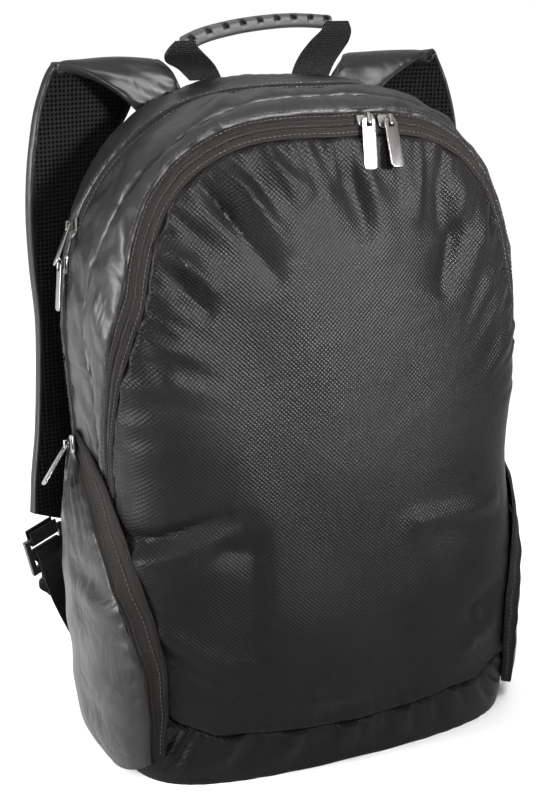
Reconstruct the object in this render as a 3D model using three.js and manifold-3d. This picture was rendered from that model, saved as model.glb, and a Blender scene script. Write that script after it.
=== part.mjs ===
// Laptop backpack: a stuffed nylon bag on its flat base, with an arched top, three zips, two side
// pockets, a grab handle with a moulded grip, and two padded shoulder straps behind.
// Millimetres. +Z is up, the front faces -Y, and the origin is the middle of the base.
import * as THREE from "three";
import { mergeVertices } from "three/addons/utils/BufferGeometryUtils.js";
import Module from "manifold-3d";

const wasm = await Module();
wasm.setup();

// Driving dimensions of the bag
const bodyHeight = 469; // base to the top of the back seam
const bodyWidth = 314; // widest, at the back seam, without the side pockets
const bodyDepth = 169; // back seam to the fullest point of the front
const backSeam = 72; // how far the back seam lies behind the origin
const frontBulge = 24; // how far the middle of the front stands out past its corners
const shoulderHeight = 290; // where the sides are widest and the top arch begins
const centreHeight = 215; // the middle of the front
const restDepth = 46; // how much of the round underside is pressed flat where it rests
const archRoundness = 2.55; // superellipse powers of the outline and of the front corners
const footRoundness = 9;
const cornerRoundness = 8;
const waistHeight = 208; // the sides draw in a little where the pocket tops are gathered
const waistSpan = 45;
const waistDepth = 6;

// How far the front stands from the back seam, as a share of bodyDepth, by height as a share of
// bodyHeight
const frontTable = [
  { height: 0, depth: 1.01 },
  { height: 0.06, depth: 1.01 },
  { height: 0.25, depth: 1 },
  { height: 0.55, depth: 0.94 },
  { height: 0.85, depth: 0.84 },
  { height: 1, depth: 0.76 },
];

// Driving dimensions of the cloth, the zips and the seams
const clothThickness = 1.6;
const backPadThickness = 11;
const seamGap = 0.5; // between two panels that are sewn edge to edge
const layerGap = 0.4; // between a piece and the cloth that it lies on
const mainZipWidth = 12;
const frontZipWidth = 17;
const coilWidth = 5;
const coilHeight = 0.9;
const bandPuff = 1.4; // how far a stuffed band swells between its seams
const archFoot = 176; // height where the arched panels end and the base panel's sides begin

// Where each seam of the arch lies, by its distance aside from the top middle as a share of the
// outline's length: the way from the back seam to the front as a share of bodyDepth
const archSeamTable = [
  { aside: 0, mainZip: 0.5, middleSeam: 0.62, frontZip: 0.725 },
  { aside: 0.02, mainZip: 0.47, middleSeam: 0.61, frontZip: 0.715 },
  { aside: 0.035, mainZip: 0.41, middleSeam: 0.6, frontZip: 0.7 },
  { aside: 0.05, mainZip: 0.32, middleSeam: 0.595, frontZip: 0.68 },
  { aside: 0.08, mainZip: 0.28, middleSeam: 0.575, frontZip: 0.652 },
  { aside: 0.1, mainZip: 0.21, middleSeam: 0.55, frontZip: 0.652 },
  { aside: 0.125, mainZip: 0.14, middleSeam: 0.49, frontZip: 0.675 },
  { aside: 0.145, mainZip: 0.1, middleSeam: 0.41, frontZip: 0.69 },
  { aside: 0.17, mainZip: 0.075, middleSeam: 0.355, frontZip: 0.635 },
  { aside: 0.195, mainZip: 0.07, middleSeam: 0.43, frontZip: 0.57 },
  { aside: 0.225, mainZip: 0.07, middleSeam: 0.41, frontZip: 0.48 },
  { aside: 0.25, mainZip: 0.07, middleSeam: 0.39, frontZip: 0.465 },
  { aside: 0.27, mainZip: 0.07, middleSeam: 0.42, frontZip: 0.56 },
];

// The front panel's edge below the arch: down the sides under the pockets, then along the base seam
const baseSeamTable = [
  { aside: 0.26, reach: 0.613 },
  { aside: 0.27, reach: 0.66 },
  { aside: 0.3, reach: 0.76 },
  { aside: 0.325, reach: 0.83 },
  { aside: 0.345, reach: 0.88 },
  { aside: 0.364, reach: 0.955 },
  { aside: 0.386, reach: 1.13 },
  { aside: 0.419, reach: 1.22 },
  { aside: 0.46, reach: 1.19 },
  { aside: 0.5, reach: 1.17 },
];

// The side pocket from its top end to its foot: its zip, the front edge of the band beside the
// zip, and how far the pocket, its zip and the band stand out from the body
const pocketTable = [
  { run: 0, zipAside: 0.234, zipReach: 0.06, bandAside: 0.228, bandReach: 0.14, swell: 4, zipLift: 4 },
  { run: 0.08, zipAside: 0.24, zipReach: 0.11, bandAside: 0.232, bandReach: 0.3, swell: 8, zipLift: 5 },
  { run: 0.16, zipAside: 0.249, zipReach: 0.2, bandAside: 0.239, bandReach: 0.46, swell: 12, zipLift: 6.5 },
  { run: 0.24, zipAside: 0.258, zipReach: 0.34, bandAside: 0.249, bandReach: 0.59, swell: 14, zipLift: 7.5 },
  { run: 0.33, zipAside: 0.266, zipReach: 0.48, bandAside: 0.262, bandReach: 0.71, swell: 15.5, zipLift: 8 },
  { run: 0.43, zipAside: 0.277, zipReach: 0.61, bandAside: 0.28, bandReach: 0.8, swell: 16.5, zipLift: 8 },
  { run: 0.56, zipAside: 0.297, zipReach: 0.745, bandAside: 0.305, bandReach: 0.885, swell: 17, zipLift: 8 },
  { run: 0.72, zipAside: 0.328, zipReach: 0.843, bandAside: 0.335, bandReach: 0.95, swell: 16.5, zipLift: 8 },
  { run: 0.88, zipAside: 0.356, zipReach: 0.872, bandAside: 0.36, bandReach: 0.963, swell: 15, zipLift: 8 },
  { run: 1, zipAside: 0.379, zipReach: 0.856, bandAside: 0.382, bandReach: 0.925, swell: 13, zipLift: 7.5 },
];
const pocketBackReach = 0.035; // the pocket's back edge, beside the back seam
const pocketTopAside = 0.236;
const pocketFootAside = 0.381;
const pocketBackLift = clothThickness + layerGap + 0.2; // outside of the pocket's back edge
const pocketBandLift = pocketBackLift + bandPuff; // outside of the band's front edge
const pocketFootClear = 3; // the pocket's foot stays this far off the floor

// Dents (negative) and ridges of the front panel: a line from one point to another, its width and
// depth in millimetres. across is a share of half the bodyWidth, up a share of the bodyHeight.
const frontFoldTable = [
  { across: -0.39, up: 0.91, toAcross: -0.16, toUp: 0.866, width: 9, depth: 4 },
  { across: -0.5, up: 0.895, toAcross: -0.28, toUp: 0.791, width: 9, depth: 2.5 },
  { across: -0.6, up: 0.875, toAcross: -0.3, toUp: 0.742, width: 10, depth: -5 },
  { across: -0.78, up: 0.804, toAcross: -0.6, toUp: 0.736, width: 9, depth: 4 },
  { across: -0.8, up: 0.78, toAcross: -0.62, toUp: 0.706, width: 9, depth: -3.5 },
  { across: 0.03, up: 0.92, toAcross: 0.1, toUp: 0.789, width: 12, depth: -6.5 },
  { across: 0.19, up: 0.89, toAcross: 0.21, toUp: 0.814, width: 10, depth: 2.5 },
  { across: 0.39, up: 0.905, toAcross: 0.34, toUp: 0.821, width: 8, depth: 4 },
  { across: 0.47, up: 0.87, toAcross: 0.48, toUp: 0.806, width: 12, depth: -5 },
  { across: 0.54, up: 0.772, toAcross: 0.45, toUp: 0.714, width: 10, depth: -4 },
  { across: 0.85, up: 0.815, toAcross: 0.7, toUp: 0.77, width: 8, depth: 3 },
  { across: -0.95, up: 0.376, toAcross: -0.59, toUp: 0.424, width: 9, depth: -6 },
  { across: -0.93, up: 0.35, toAcross: -0.55, toUp: 0.4, width: 11, depth: 4.5 },
  { across: -0.48, up: 0.377, toAcross: -0.5, toUp: 0.222, width: 16, depth: -3.5 },
  { across: -0.85, up: 0.22, toAcross: -0.56, toUp: 0.16, width: 9, depth: -3 },
  { across: 0.31, up: 0.375, toAcross: 0.76, toUp: 0.371, width: 10, depth: 2.5 },
  { across: 0.66, up: 0.222, toAcross: 0.78, toUp: 0.232, width: 9, depth: -3 },
];

// Driving dimensions of the shoulder straps, the handle and the fittings
const strapPad = 7; // padded satin outside
const strapMeshThickness = 3; // spacer mesh on the wearer's side
const webbingWidth = 25;
const webbingThickness = 1.6;
const gripDepth = 17;
const gripHeight = 10;
const gripSlots = 9;
const gripSlotPitch = 13;
const sliderWidth = 9.5;
const sliderLength = 13.5;
const pullWidth = 10;
const pullLength = 33;
const pullThickness = 1.5;
const buckleWidth = 36;
const buckleLength = 30;
const buckleThickness = 3.5;

// The right shoulder strap's centre line from the top of the back panel over its crest and down to
// its padded end: across is a share of half the bodyWidth, behind the distance behind the back seam
// and up a share of the bodyHeight. Then its width and how far its outer edge is turned to the
// front, in degrees. The right strap is splayed a little further out than the left one.
const strapTable = [
  { across: 0.41, behind: 7, up: 0.9126, width: 30, turn: 0, splay: 0 },
  { across: 0.465, behind: 7.2, up: 0.951, width: 38, turn: 0, splay: 0 },
  { across: 0.54, behind: 8.6, up: 0.9851, width: 50, turn: 0, splay: 0 },
  { across: 0.618, behind: 12.2, up: 1.0085, width: 64, turn: 0, splay: 2 },
  { across: 0.6879, behind: 19, up: 1.0203, width: 73, turn: 2, splay: 4 },
  { across: 0.707, behind: 27.5, up: 1.0149, width: 73, turn: 5, splay: 6 },
  { across: 0.7452, behind: 33, up: 0.9915, width: 73, turn: 10, splay: 8 },
  { across: 0.8025, behind: 35, up: 0.9531, width: 73, turn: 16, splay: 9 },
  { across: 0.8535, behind: 35.5, up: 0.8955, width: 72, turn: 21, splay: 10 },
  { across: 0.879, behind: 37.5, up: 0.8273, width: 71, turn: 22, splay: 9 },
  { across: 0.8726, behind: 43, up: 0.7356, width: 69, turn: 19, splay: 6 },
  { across: 0.8535, behind: 47, up: 0.629, width: 66, turn: 16, splay: 3 },
  { across: 0.8662, behind: 48, up: 0.5224, width: 64, turn: 14, splay: 0 },
  { across: 0.9045, behind: 45, up: 0.4264, width: 60, turn: 14, splay: 0 },
  { across: 0.9745, behind: 39, up: 0.3518, width: 51, turn: 16, splay: 0 },
  { across: 1.035, behind: 33.7, up: 0.2977, width: 38, turn: 18, splay: 0 },
];

// The grip's centre line, and the webbing of the handle from the back seam up into each end of it:
// rise is the height over the bodyHeight, behind the distance behind the back seam
const gripBehind = 4;
const gripTable = [
  { x: -58, rise: 22.2 },
  { x: -47, rise: 27 },
  { x: -25, rise: 32.5 },
  { x: 0, rise: 36 },
  { x: 27, rise: 37.5 },
  { x: 55, rise: 36 },
];
const handleTable = {
  left: [
    { x: -42, behind: 2.4, rise: -2.5, turn: 0, width: 25 },
    { x: -48, behind: 1.6, rise: 5, turn: 0, width: 29 },
    { x: -57, behind: -1.6, rise: 12, turn: 0, width: 33 },
    { x: -61, behind: -5.3, rise: 18, turn: 0, width: 25 },
    { x: -61, behind: -5.9, rise: 24, turn: 0, width: 17 },
  ],
  right: [
    { x: 39.5, behind: 1.8, rise: -2.2, turn: 0, width: 30 },
    { x: 43, behind: 1.6, rise: 6, turn: 0, width: 31 },
    { x: 48.5, behind: -0.4, rise: 16, turn: 0, width: 32 },
    { x: 53.5, behind: -3.4, rise: 24, turn: 0, width: 30 },
    { x: 57, behind: -5.8, rise: 31, turn: 0, width: 22 },
    { x: 57.5, behind: -5.9, rise: 37.5, turn: 0, width: 15 },
  ],
};

// The ladder lock's place under a strap's padded end, on the right: centre, and how it is turned
const lockPlace = { across: 1.07, behind: 29.5, up: 0.2452, lean: 14, turn: 20 };
// Side views, along the strap and out from it, of the webbing that holds the lock on the strap and
// of the adjusting webbing: up from the bag, through the lock and out as a loose end
const holderPath = [
  [21.5, 2.9], [16, 3.2], [11, 2.8], [9.2, 0], [11, -2.8], [16, -3.2], [21.5, -2.9],
];
const adjusterPath = [
  [-88, -32.2], [-62, -17], [-34, -6.4], [-12, -5], [1, -4.9], [4.4, -2.6], [4.6, 2], [2, 3.1],
  [-1.4, 3.1], [-4, 1.6], [-4.6, -1.6], [-8, -2.9], [-15, -2.9], [-20, -1], [-24, 4], [-33, 8],
  [-44, 8],
];

// The zip sliders: where each sits and how its pull hangs. swing turns the pull's way of hanging in
// the plane of the cloth, lean lifts it off that plane, both in degrees.
// Only the front zip's pulls hang across their zip.
const zipPullTable = [
  { name: "front_left", zip: "front", side: 1, aside: 0.0155, reach: 0.768, swing: 3, lean: -20 },
  { name: "front_right", zip: "front", side: 1, aside: 0.0272, reach: 0.766, swing: 5, lean: -4 },
  { name: "main_upper", zip: "main", side: -1, aside: 0.13, reach: 0.13, swing: 40, lean: 16 },
  { name: "main_lower", zip: "main", side: -1, aside: 0.148, reach: 0.096, swing: 6, lean: -2 },
  { name: "pocket_left", zip: "pocket", side: -1, run: 0.05, swing: -30, lean: 36 },
  { name: "pocket_right", zip: "pocket", side: 1, run: 0.05, swing: 20, lean: 20 },
];

// Mesh fineness
const archSteps = 34;
const baseSteps = 20;
const frontRings = 8;

// Small helpers
const clamp = THREE.MathUtils.clamp;
const lerp = THREE.MathUtils.lerp;
const smooth = THREE.MathUtils.smoothstep;

// A column of a table, eased between the rows on either side of a key
function fromTable(table, key, at, column) {
  const last = table.length - 1;
  if (at <= table[0][key]) return table[0][column];
  if (at >= table[last][key]) return table[last][column];
  const i = table.findIndex((row) => row[key] >= at);
  const [low, high] = [table[i - 1], table[i]];
  return lerp(low[column], high[column], (at - low[key]) / (high[key] - low[key]));
}

// The outline of the back seam, seen from the front, by the angle from the bottom middle
function outlineByAngle(angle) {
  const [side, rise] = [Math.sin(angle), -Math.cos(angle)];
  const upper = rise > 0;
  const power = 2 / (upper ? archRoundness : footRoundness);
  const reachUp = upper ? bodyHeight - shoulderHeight : shoulderHeight + restDepth;
  const x = (Math.sign(side) * Math.abs(side) ** power * bodyWidth) / 2;
  const z = shoulderHeight + Math.sign(rise) * Math.abs(rise) ** power * reachUp;
  const draw = waistDepth * Math.exp(-(((z - waistHeight) / waistSpan) ** 2));
  return new THREE.Vector2(x * (1 - draw / (bodyWidth / 2)), z);
}

const outlineSamples = 1440;
const outlinePoints = [];
const outlineLengths = [0];
for (let i = 0; i <= outlineSamples; i++) {
  outlinePoints.push(outlineByAngle((i / outlineSamples) * 2 * Math.PI));
  if (i) outlineLengths.push(outlineLengths[i - 1] + outlinePoints[i].distanceTo(outlinePoints[i - 1]));
}
const outlineLength = outlineLengths[outlineSamples];

// The outline by turn, which is 0 at the bottom middle, 0.25 up the right side and 0.5 at the top
function outlineAt(turn) {
  const along = (turn - Math.floor(turn)) * outlineLength;
  let [low, high] = [0, outlineSamples];
  while (high - low > 1) {
    const middle = (low + high) >> 1;
    if (outlineLengths[middle] > along) high = middle;
    else low = middle;
  }
  const t = (along - outlineLengths[low]) / (outlineLengths[high] - outlineLengths[low]);
  return outlinePoints[low].clone().lerp(outlinePoints[high], t);
}

// The turn, on the right-hand side, where the outline reaches a height
function turnAtHeight(height) {
  let [low, high] = [0, 0.5];
  for (let i = 0; i < 40; i++) {
    const middle = (low + high) / 2;
    if (outlineAt(middle).y > height) high = middle;
    else low = middle;
  }
  return low;
}

// The run of cloth from the back seam (bend 0) over the side to the middle of the front (bend 1)
function bodyPoint(turn, bend) {
  const rim = outlineAt(turn);
  const power = 2 / cornerRoundness;
  const angle = (bend * Math.PI) / 2;
  const share = bend >= 1 ? 0 : Math.cos(angle) ** power;
  const x = share * rim.x;
  const z = centreHeight + share * (rim.y - centreHeight);
  const full = fromTable(frontTable, "height", z / bodyHeight, "depth") * bodyDepth;
  const out = full - frontBulge * Math.abs((2 * x) / bodyWidth) ** 2.4;
  return new THREE.Vector3(x, backSeam - out * Math.sin(angle) ** power, Math.max(z, 0));
}

// The same run by its length in millimetres from the back seam
const runSamples = 96;
const runs = new Map();
function runAt(turn) {
  const key = turn.toFixed(7);
  if (!runs.has(key)) {
    const points = [];
    const lengths = [0];
    for (let i = 0; i <= runSamples; i++) {
      points.push(bodyPoint(turn, (i / runSamples) ** 1.6));
      if (i) lengths.push(lengths[i - 1] + points[i].distanceTo(points[i - 1]));
    }
    runs.set(key, { points, lengths, total: lengths[runSamples] });
  }
  return runs.get(key);
}
function clothPoint(turn, length) {
  const { points, lengths, total } = runAt(turn);
  const along = clamp(length, 0, total);
  const i = Math.max(1, lengths.findIndex((l) => l >= along));
  const t = (along - lengths[i - 1]) / (lengths[i] - lengths[i - 1]);
  return points[i - 1].clone().lerp(points[i], t);
}
function clothNormal(turn, length) {
  const { total } = runAt(turn);
  const step = 3;
  if (length > total - step) return new THREE.Vector3(0, -1, 0);
  const turnStep = step / outlineLength;
  const across = clothPoint(turn, length + step).sub(clothPoint(turn, Math.max(0, length - step)));
  const along = clothPoint(turn + turnStep, length).sub(clothPoint(turn - turnStep, length));
  return along.cross(across).normalize();
}
function lifted(turn, length, lift) {
  return clothPoint(turn, length).addScaledVector(clothNormal(turn, length), lift);
}

// A closed solid from two grids of points, the outer one first. The grid's columns may close.
function sheetSolid(outer, inner, closed = false) {
  const rows = outer.length;
  const columns = outer[0].length;
  const positions = [];
  const quad = (a, b, c, d) => {
    for (const p of [a, b, c, a, c, d]) positions.push(p.x, p.y, p.z);
  };
  for (let i = 0; i < rows - (closed ? 0 : 1); i++) {
    const n = (i + 1) % rows;
    for (let j = 0; j < columns - 1; j++) {
      quad(outer[i][j], outer[n][j], outer[n][j + 1], outer[i][j + 1]);
      quad(inner[i][j], inner[i][j + 1], inner[n][j + 1], inner[n][j]);
    }
    const e = columns - 1;
    quad(outer[i][0], inner[i][0], inner[n][0], outer[n][0]);
    quad(outer[i][e], outer[n][e], inner[n][e], inner[i][e]);
  }
  if (!closed)
    for (let j = 0; j < columns - 1; j++) {
      const e = rows - 1;
      quad(outer[0][j], outer[0][j + 1], inner[0][j + 1], inner[0][j]);
      quad(outer[e][j + 1], outer[e][j], inner[e][j], inner[e][j + 1]);
    }
  const geometry = new THREE.BufferGeometry();
  geometry.setAttribute("position", new THREE.Float32BufferAttribute(positions, 3));
  return tidy(geometry);
}

// Merges shared vertices and drops the triangles that fall together at a pole
function tidy(geometry) {
  geometry.deleteAttribute("normal");
  geometry.deleteAttribute("uv");
  const merged = mergeVertices(geometry, 1e-3);
  const kept = [];
  for (let i = 0; i < merged.index.count; i += 3) {
    const [a, b, c] = [merged.index.getX(i), merged.index.getX(i + 1), merged.index.getX(i + 2)];
    if (a !== b && b !== c && a !== c) kept.push(a, b, c);
  }
  merged.setIndex(kept);
  return merged;
}

// A closed solid through a run of equal loops, capped at both ends or joined end to end
function loft(loops, ring = false) {
  const count = loops[0].length;
  const positions = [];
  const triangle = (a, b, c) => {
    for (const p of [a, b, c]) positions.push(p.x, p.y, p.z);
  };
  for (let i = 0; i < loops.length - (ring ? 0 : 1); i++) {
    const [from, to] = [loops[i], loops[(i + 1) % loops.length]];
    for (let j = 0; j < count; j++) {
      const n = (j + 1) % count;
      triangle(from[j], from[n], to[n]);
      triangle(from[j], to[n], to[j]);
    }
  }
  if (!ring)
    for (let j = 1; j < count - 1; j++) {
      const end = loops[loops.length - 1];
      triangle(loops[0][0], loops[0][j + 1], loops[0][j]);
      triangle(end[0], end[j], end[j + 1]);
    }
  const geometry = new THREE.BufferGeometry();
  geometry.setAttribute("position", new THREE.Float32BufferAttribute(positions, 3));
  return facingOut(tidy(geometry));
}

// Turns a solid's faces outward where they came out inward
function facingOut(geometry) {
  const { position } = geometry.attributes;
  const corner = (k) => new THREE.Vector3().fromBufferAttribute(position, geometry.index.getX(k));
  let volume = 0;
  for (let k = 0; k < geometry.index.count; k += 3)
    volume += corner(k).dot(corner(k + 1).cross(corner(k + 2)));
  if (volume < 0) geometry.setIndex(Array.from(geometry.index.array).reverse());
  return geometry;
}

function toManifold(geometry) {
  const solid = facingOut(tidy(geometry.clone()));
  const vertProperties = Float32Array.from(solid.attributes.position.array);
  const triVerts = Uint32Array.from(solid.index.array);
  return new wasm.Manifold(new wasm.Mesh({ numProp: 3, vertProperties, triVerts }));
}
function fromManifold(solid) {
  const mesh = solid.getMesh();
  const geometry = new THREE.BufferGeometry();
  geometry.setAttribute("position", new THREE.Float32BufferAttribute(mesh.vertProperties, 3));
  geometry.setIndex(Array.from(mesh.triVerts));
  return geometry;
}

function box(width, depth, height, x, y, z) {
  return new THREE.BoxGeometry(width, depth, height).translate(x, y, z);
}

// A flat rounded rectangle, and a plate of it that is thick along Z
function roundedOutline(Kind, width, length, radius, x = 0, y = 0) {
  const [w, l] = [width / 2, length / 2];
  const outline = new Kind();
  outline.moveTo(x - w + radius, y - l);
  outline.lineTo(x + w - radius, y - l);
  outline.absarc(x + w - radius, y - l + radius, radius, -Math.PI / 2, 0);
  outline.lineTo(x + w, y + l - radius);
  outline.absarc(x + w - radius, y + l - radius, radius, 0, Math.PI / 2);
  outline.lineTo(x - w + radius, y + l);
  outline.absarc(x - w + radius, y + l - radius, radius, Math.PI / 2, Math.PI);
  outline.lineTo(x - w, y - l + radius);
  outline.absarc(x - w + radius, y - l + radius, radius, Math.PI, 1.5 * Math.PI);
  return outline;
}
function plate(outline, thickness) {
  const options = { depth: thickness, bevelEnabled: false, curveSegments: 3 };
  return new THREE.ExtrudeGeometry(outline, options);
}

const group = new THREE.Group();
function add(name, geometry, material) {
  const mesh = new THREE.Mesh(geometry, material);
  mesh.name = name;
  group.add(mesh);
  return mesh;
}

// Materials
const cloth = (color, roughness) => new THREE.MeshStandardMaterial({ color, roughness, metalness: 0 });
const satinNylon = cloth("#3b3a3d", 0.6);
const ballisticNylon = cloth("#2c2c2d", 0.56);
const zipTape = cloth("#2d2a2a", 0.8);
const spacerMesh = cloth("#1b1b1c", 0.9);
const webbing = cloth("#2a292a", 0.75);
const mouldedGrip = cloth("#77767a", 0.7);
const blackPlastic = cloth("#1c1c1d", 0.45);
const nickel = new THREE.MeshStandardMaterial({ color: "#d6d2cf", roughness: 0.25, metalness: 1 });

// The turns of the arch and of the base, and the seams on the way to the front
const aside = (turn) => Math.abs(turn - 0.5);
const footTurn = turnAtHeight(archFoot);
const spread = (from, to, steps) => [...Array(steps + 1).keys()].map((i) => lerp(from, to, i / steps));
const archTurns = spread(footTurn, 1 - footTurn, archSteps);
const footGap = seamGap / outlineLength;
const baseTurns = spread(1 - footTurn + footGap, 1 + footTurn - footGap, baseSteps).map((t) => t % 1);
const archSeam = (turn, column) => fromTable(archSeamTable, "aside", aside(turn), column) * bodyDepth;
const mainZipAt = (turn) => archSeam(turn, "mainZip");
const middleSeamAt = (turn) => archSeam(turn, "middleSeam");
const frontZipAt = (turn) => archSeam(turn, "frontZip");
const inBase = (turn) => turn < footTurn || turn > 1 - footTurn;
const baseSeamAt = (turn) => fromTable(baseSeamTable, "aside", aside(turn), "reach") * bodyDepth;
const frontEdgeAt = (turn) => (inBase(turn) ? baseSeamAt(turn) : frontZipAt(turn) + frontZipWidth);

// A panel of the shell between two seams. The profile's rows give the share of the way across and
// the lift of the outside there.
function panel(turns, from, to, profile) {
  const outer = turns.map((turn) =>
    profile.map(({ share, lift }) => lifted(turn, lerp(from(turn), to(turn), share), lift)),
  );
  const inner = turns.map((turn) =>
    profile.map(({ share }) => lifted(turn, lerp(from(turn), to(turn), share), -clothThickness)),
  );
  return facingOut(sheetSolid(outer, inner));
}
const half = seamGap / 2;
const puffed = [
  { share: 0, lift: 0 },
  { share: 0.5, lift: bandPuff },
  { share: 1, lift: 0 },
];
function coiled(width) {
  const rib = coilWidth / 2 / width;
  return [
    { share: 0, lift: 0 },
    { share: 0.5 - rib, lift: 0 },
    { share: 0.5, lift: coilHeight },
    { share: 0.5 + rib, lift: 0 },
    { share: 1, lift: 0 },
  ];
}

// The bands and zips from the back seam to the front panel, and the base panel under them
function shellPanels() {
  const backSeamAt = () => -half;
  const mainBack = (turn) => mainZipAt(turn) - mainZipWidth / 2;
  const mainFront = (turn) => mainZipAt(turn) + mainZipWidth / 2;
  const zipFront = (turn) => frontZipAt(turn) + frontZipWidth;
  const plain = spread(0, 1, 6).map((share) => ({ share, lift: 0 }));
  const between = (name, turns, from, to, profile, material) => {
    const inside = [(turn) => from(turn) + half, (turn) => to(turn) - half];
    add(name, panel(turns, ...inside, profile), material);
  };
  between("rear_band", archTurns, backSeamAt, mainBack, puffed, satinNylon);
  between("main_zip", archTurns, mainBack, mainFront, coiled(mainZipWidth), zipTape);
  between("middle_band", archTurns, mainFront, middleSeamAt, puffed, satinNylon);
  between("front_band", archTurns, middleSeamAt, frontZipAt, puffed, satinNylon);
  between("front_zip", archTurns, frontZipAt, zipFront, coiled(frontZipWidth), zipTape);
  between("base_panel", baseTurns, backSeamAt, baseSeamAt, plain, satinNylon);
}

// How far the front panel is pushed in or out at a point
function foldAt(point) {
  let push = 0;
  for (const fold of frontFoldTable) {
    const start = new THREE.Vector2(fold.across * bodyWidth * 0.5, fold.up * bodyHeight);
    const line = new THREE.Vector2(fold.toAcross * bodyWidth * 0.5, fold.toUp * bodyHeight).sub(start);
    const from = new THREE.Vector2(point.x, point.z).sub(start);
    const along = clamp(from.dot(line) / line.lengthSq(), 0, 1);
    const away = from.addScaledVector(line, -along).length() / fold.width;
    push += fold.depth * Math.exp(-away * away) * Math.sin(Math.PI * lerp(0.12, 0.88, along));
  }
  return push;
}

// The front panel closes round the middle of the front in rings
function frontPanel() {
  const turns = [...archTurns, ...baseTurns];
  const rings = spread(0, 1, frontRings).map((share) => share ** 0.85);
  const grid = (lift) =>
    turns.map((turn) => {
      const start = frontEdgeAt(turn) + half;
      return rings.map((share) => {
        const length = lerp(start, runAt(turn).total, share);
        const settle = smooth(share, 0, 0.18);
        return lifted(turn, length, lift + settle * foldAt(clothPoint(turn, length)));
      });
    });
  add("front_panel", facingOut(sheetSolid(grid(0), grid(-clothThickness), true)), ballisticNylon);
}

// The back panel: padding in a cover, set inside the back seam
function backPanel() {
  const turns = [...archTurns, ...baseTurns];
  const inset = clothThickness + layerGap;
  const at = (turn, share, y) => {
    const way = outlineAt(turn + 0.002).sub(outlineAt(turn - 0.002)).normalize();
    const rim = outlineAt(turn).add(new THREE.Vector2(-way.y, way.x).multiplyScalar(inset));
    const centre = new THREE.Vector2(0, centreHeight);
    const flat = rim.sub(centre).multiplyScalar(share).add(centre);
    return new THREE.Vector3(flat.x, y, Math.max(flat.y, inset));
  };
  const domed = [1, 0.93, 0.5, 0].map((share) => ({ share, out: 4 * Math.sqrt(1 - share ** 8) }));
  const back = turns.map((t) => domed.map(({ share, out }) => at(t, share, backSeam + layerGap + out)));
  const front = turns.map((t) => domed.map(({ share }) => at(t, share, backSeam - backPadThickness + 4)));
  add("back_panel", facingOut(sheetSolid(back, front, true)), spacerMesh);
}

// A point over the body by its distance aside and its reach, on the right (1) or the left (-1)
const overBody = (side, away, reach, lift) => {
  const turn = side > 0 ? 0.5 - away : 0.5 + away;
  const point = lifted(turn, reach * bodyDepth, lift);
  point.z = Math.max(point.z, pocketFootClear);
  return point;
};
const pocketRow = (run) => {
  const column = (name) => fromTable(pocketTable, "run", run, name);
  return {
    zip: [column("zipAside"), column("zipReach"), column("zipLift")],
    band: [column("bandAside"), column("bandReach"), pocketBandLift],
    swell: column("swell"),
  };
};

// A side pocket: a swelling panel from the back seam to its zip, and the band that carries the zip
function sidePocket(side, name) {
  const runs = spread(0, 1, 13);
  const crossings = spread(0, 1, 5);
  const grid = (drop) =>
    runs.map((run) => {
      const { zip, swell } = pocketRow(run);
      const back = lerp(pocketTopAside, pocketFootAside, run);
      return crossings.map((share) => {
        const edge = lerp(pocketBackLift, zip[2], share);
        const pleat = 1.2 * Math.sin(run * 34) * share * (1 - run);
        const lift = edge + (swell - edge) * Math.sin(Math.PI * share ** 0.8) + pleat;
        return overBody(side, lerp(back, zip[0], share), lerp(pocketBackReach, zip[1], share), lift - drop);
      });
    });
  add(`side_pocket_${name}`, facingOut(sheetSolid(grid(0), grid(clothThickness))), satinNylon);
  const gap = seamGap / bodyDepth;
  const coil = [
    { share: 0, lift: 0 },
    { share: 0.12, lift: coilHeight },
    { share: 0.26, lift: 0 },
    { share: 1, lift: 0 },
  ];
  const bandGrid = (drop) =>
    runs.map((run) => {
      const { zip, band } = pocketRow(run);
      return coil.map(({ share, lift }) => {
        const height = lerp(zip[2], band[2], share) + (drop ? -drop : lift);
        const reach = lerp(zip[1] + gap, band[1], share);
        return overBody(side, lerp(zip[0], band[0], share), reach, height);
      });
    });
  add(`pocket_zip_${name}`, facingOut(sheetSolid(bandGrid(0), bandGrid(clothThickness))), zipTape);
}

// A strip of cloth or webbing swept along the rows of a table, thinner at its two edges
function strip(rows, thickness, offset = 0) {
  const points = rows.map((row) => new THREE.Vector3(row.x, row.y, row.z));
  const faces = { out: [], in: [] };
  rows.forEach((row, i) => {
    const ahead = points[Math.min(i + 1, rows.length - 1)];
    const along = ahead.clone().sub(points[Math.max(i - 1, 0)]).normalize();
    const turned = THREE.MathUtils.degToRad(row.turn) * (row.side ?? 1);
    const wide = new THREE.Vector3(Math.cos(turned), -Math.sin(turned), 0);
    const up = along.clone().cross(wide).normalize();
    wide.crossVectors(up, along).normalize();
    const [w, t] = [row.width / 2, thickness / 2];
    const across = [w, w - 2.2, 0, 2.2 - w, -w];
    const thin = [0.4, 1, 1, 1, 0.4];
    const face = (sign) =>
      across.map((a, j) =>
        points[i].clone().addScaledVector(wide, a).addScaledVector(up, sign * t * thin[j] + offset),
      );
    faces.out.push(face(1));
    faces.in.push(face(-1));
  });
  return facingOut(sheetSolid(faces.out, faces.in));
}

// A padded shoulder strap and the spacer mesh on its inner side
function shoulderStrap(side, name) {
  const rows = strapTable.map(({ across, behind, up, width, turn, splay }) => ({
    x: ((across * bodyWidth) / 2 + (side > 0 ? splay : 0)) * side,
    y: backSeam + behind,
    z: up * bodyHeight,
    width,
    turn,
    side,
  }));
  add(`shoulder_strap_${name}`, strip(rows, strapPad), satinNylon);
  const inner = strapPad / 2 + layerGap + strapMeshThickness / 2;
  add(`strap_mesh_${name}`, strip(rows, strapMeshThickness, inner), spacerMesh);
}

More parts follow.
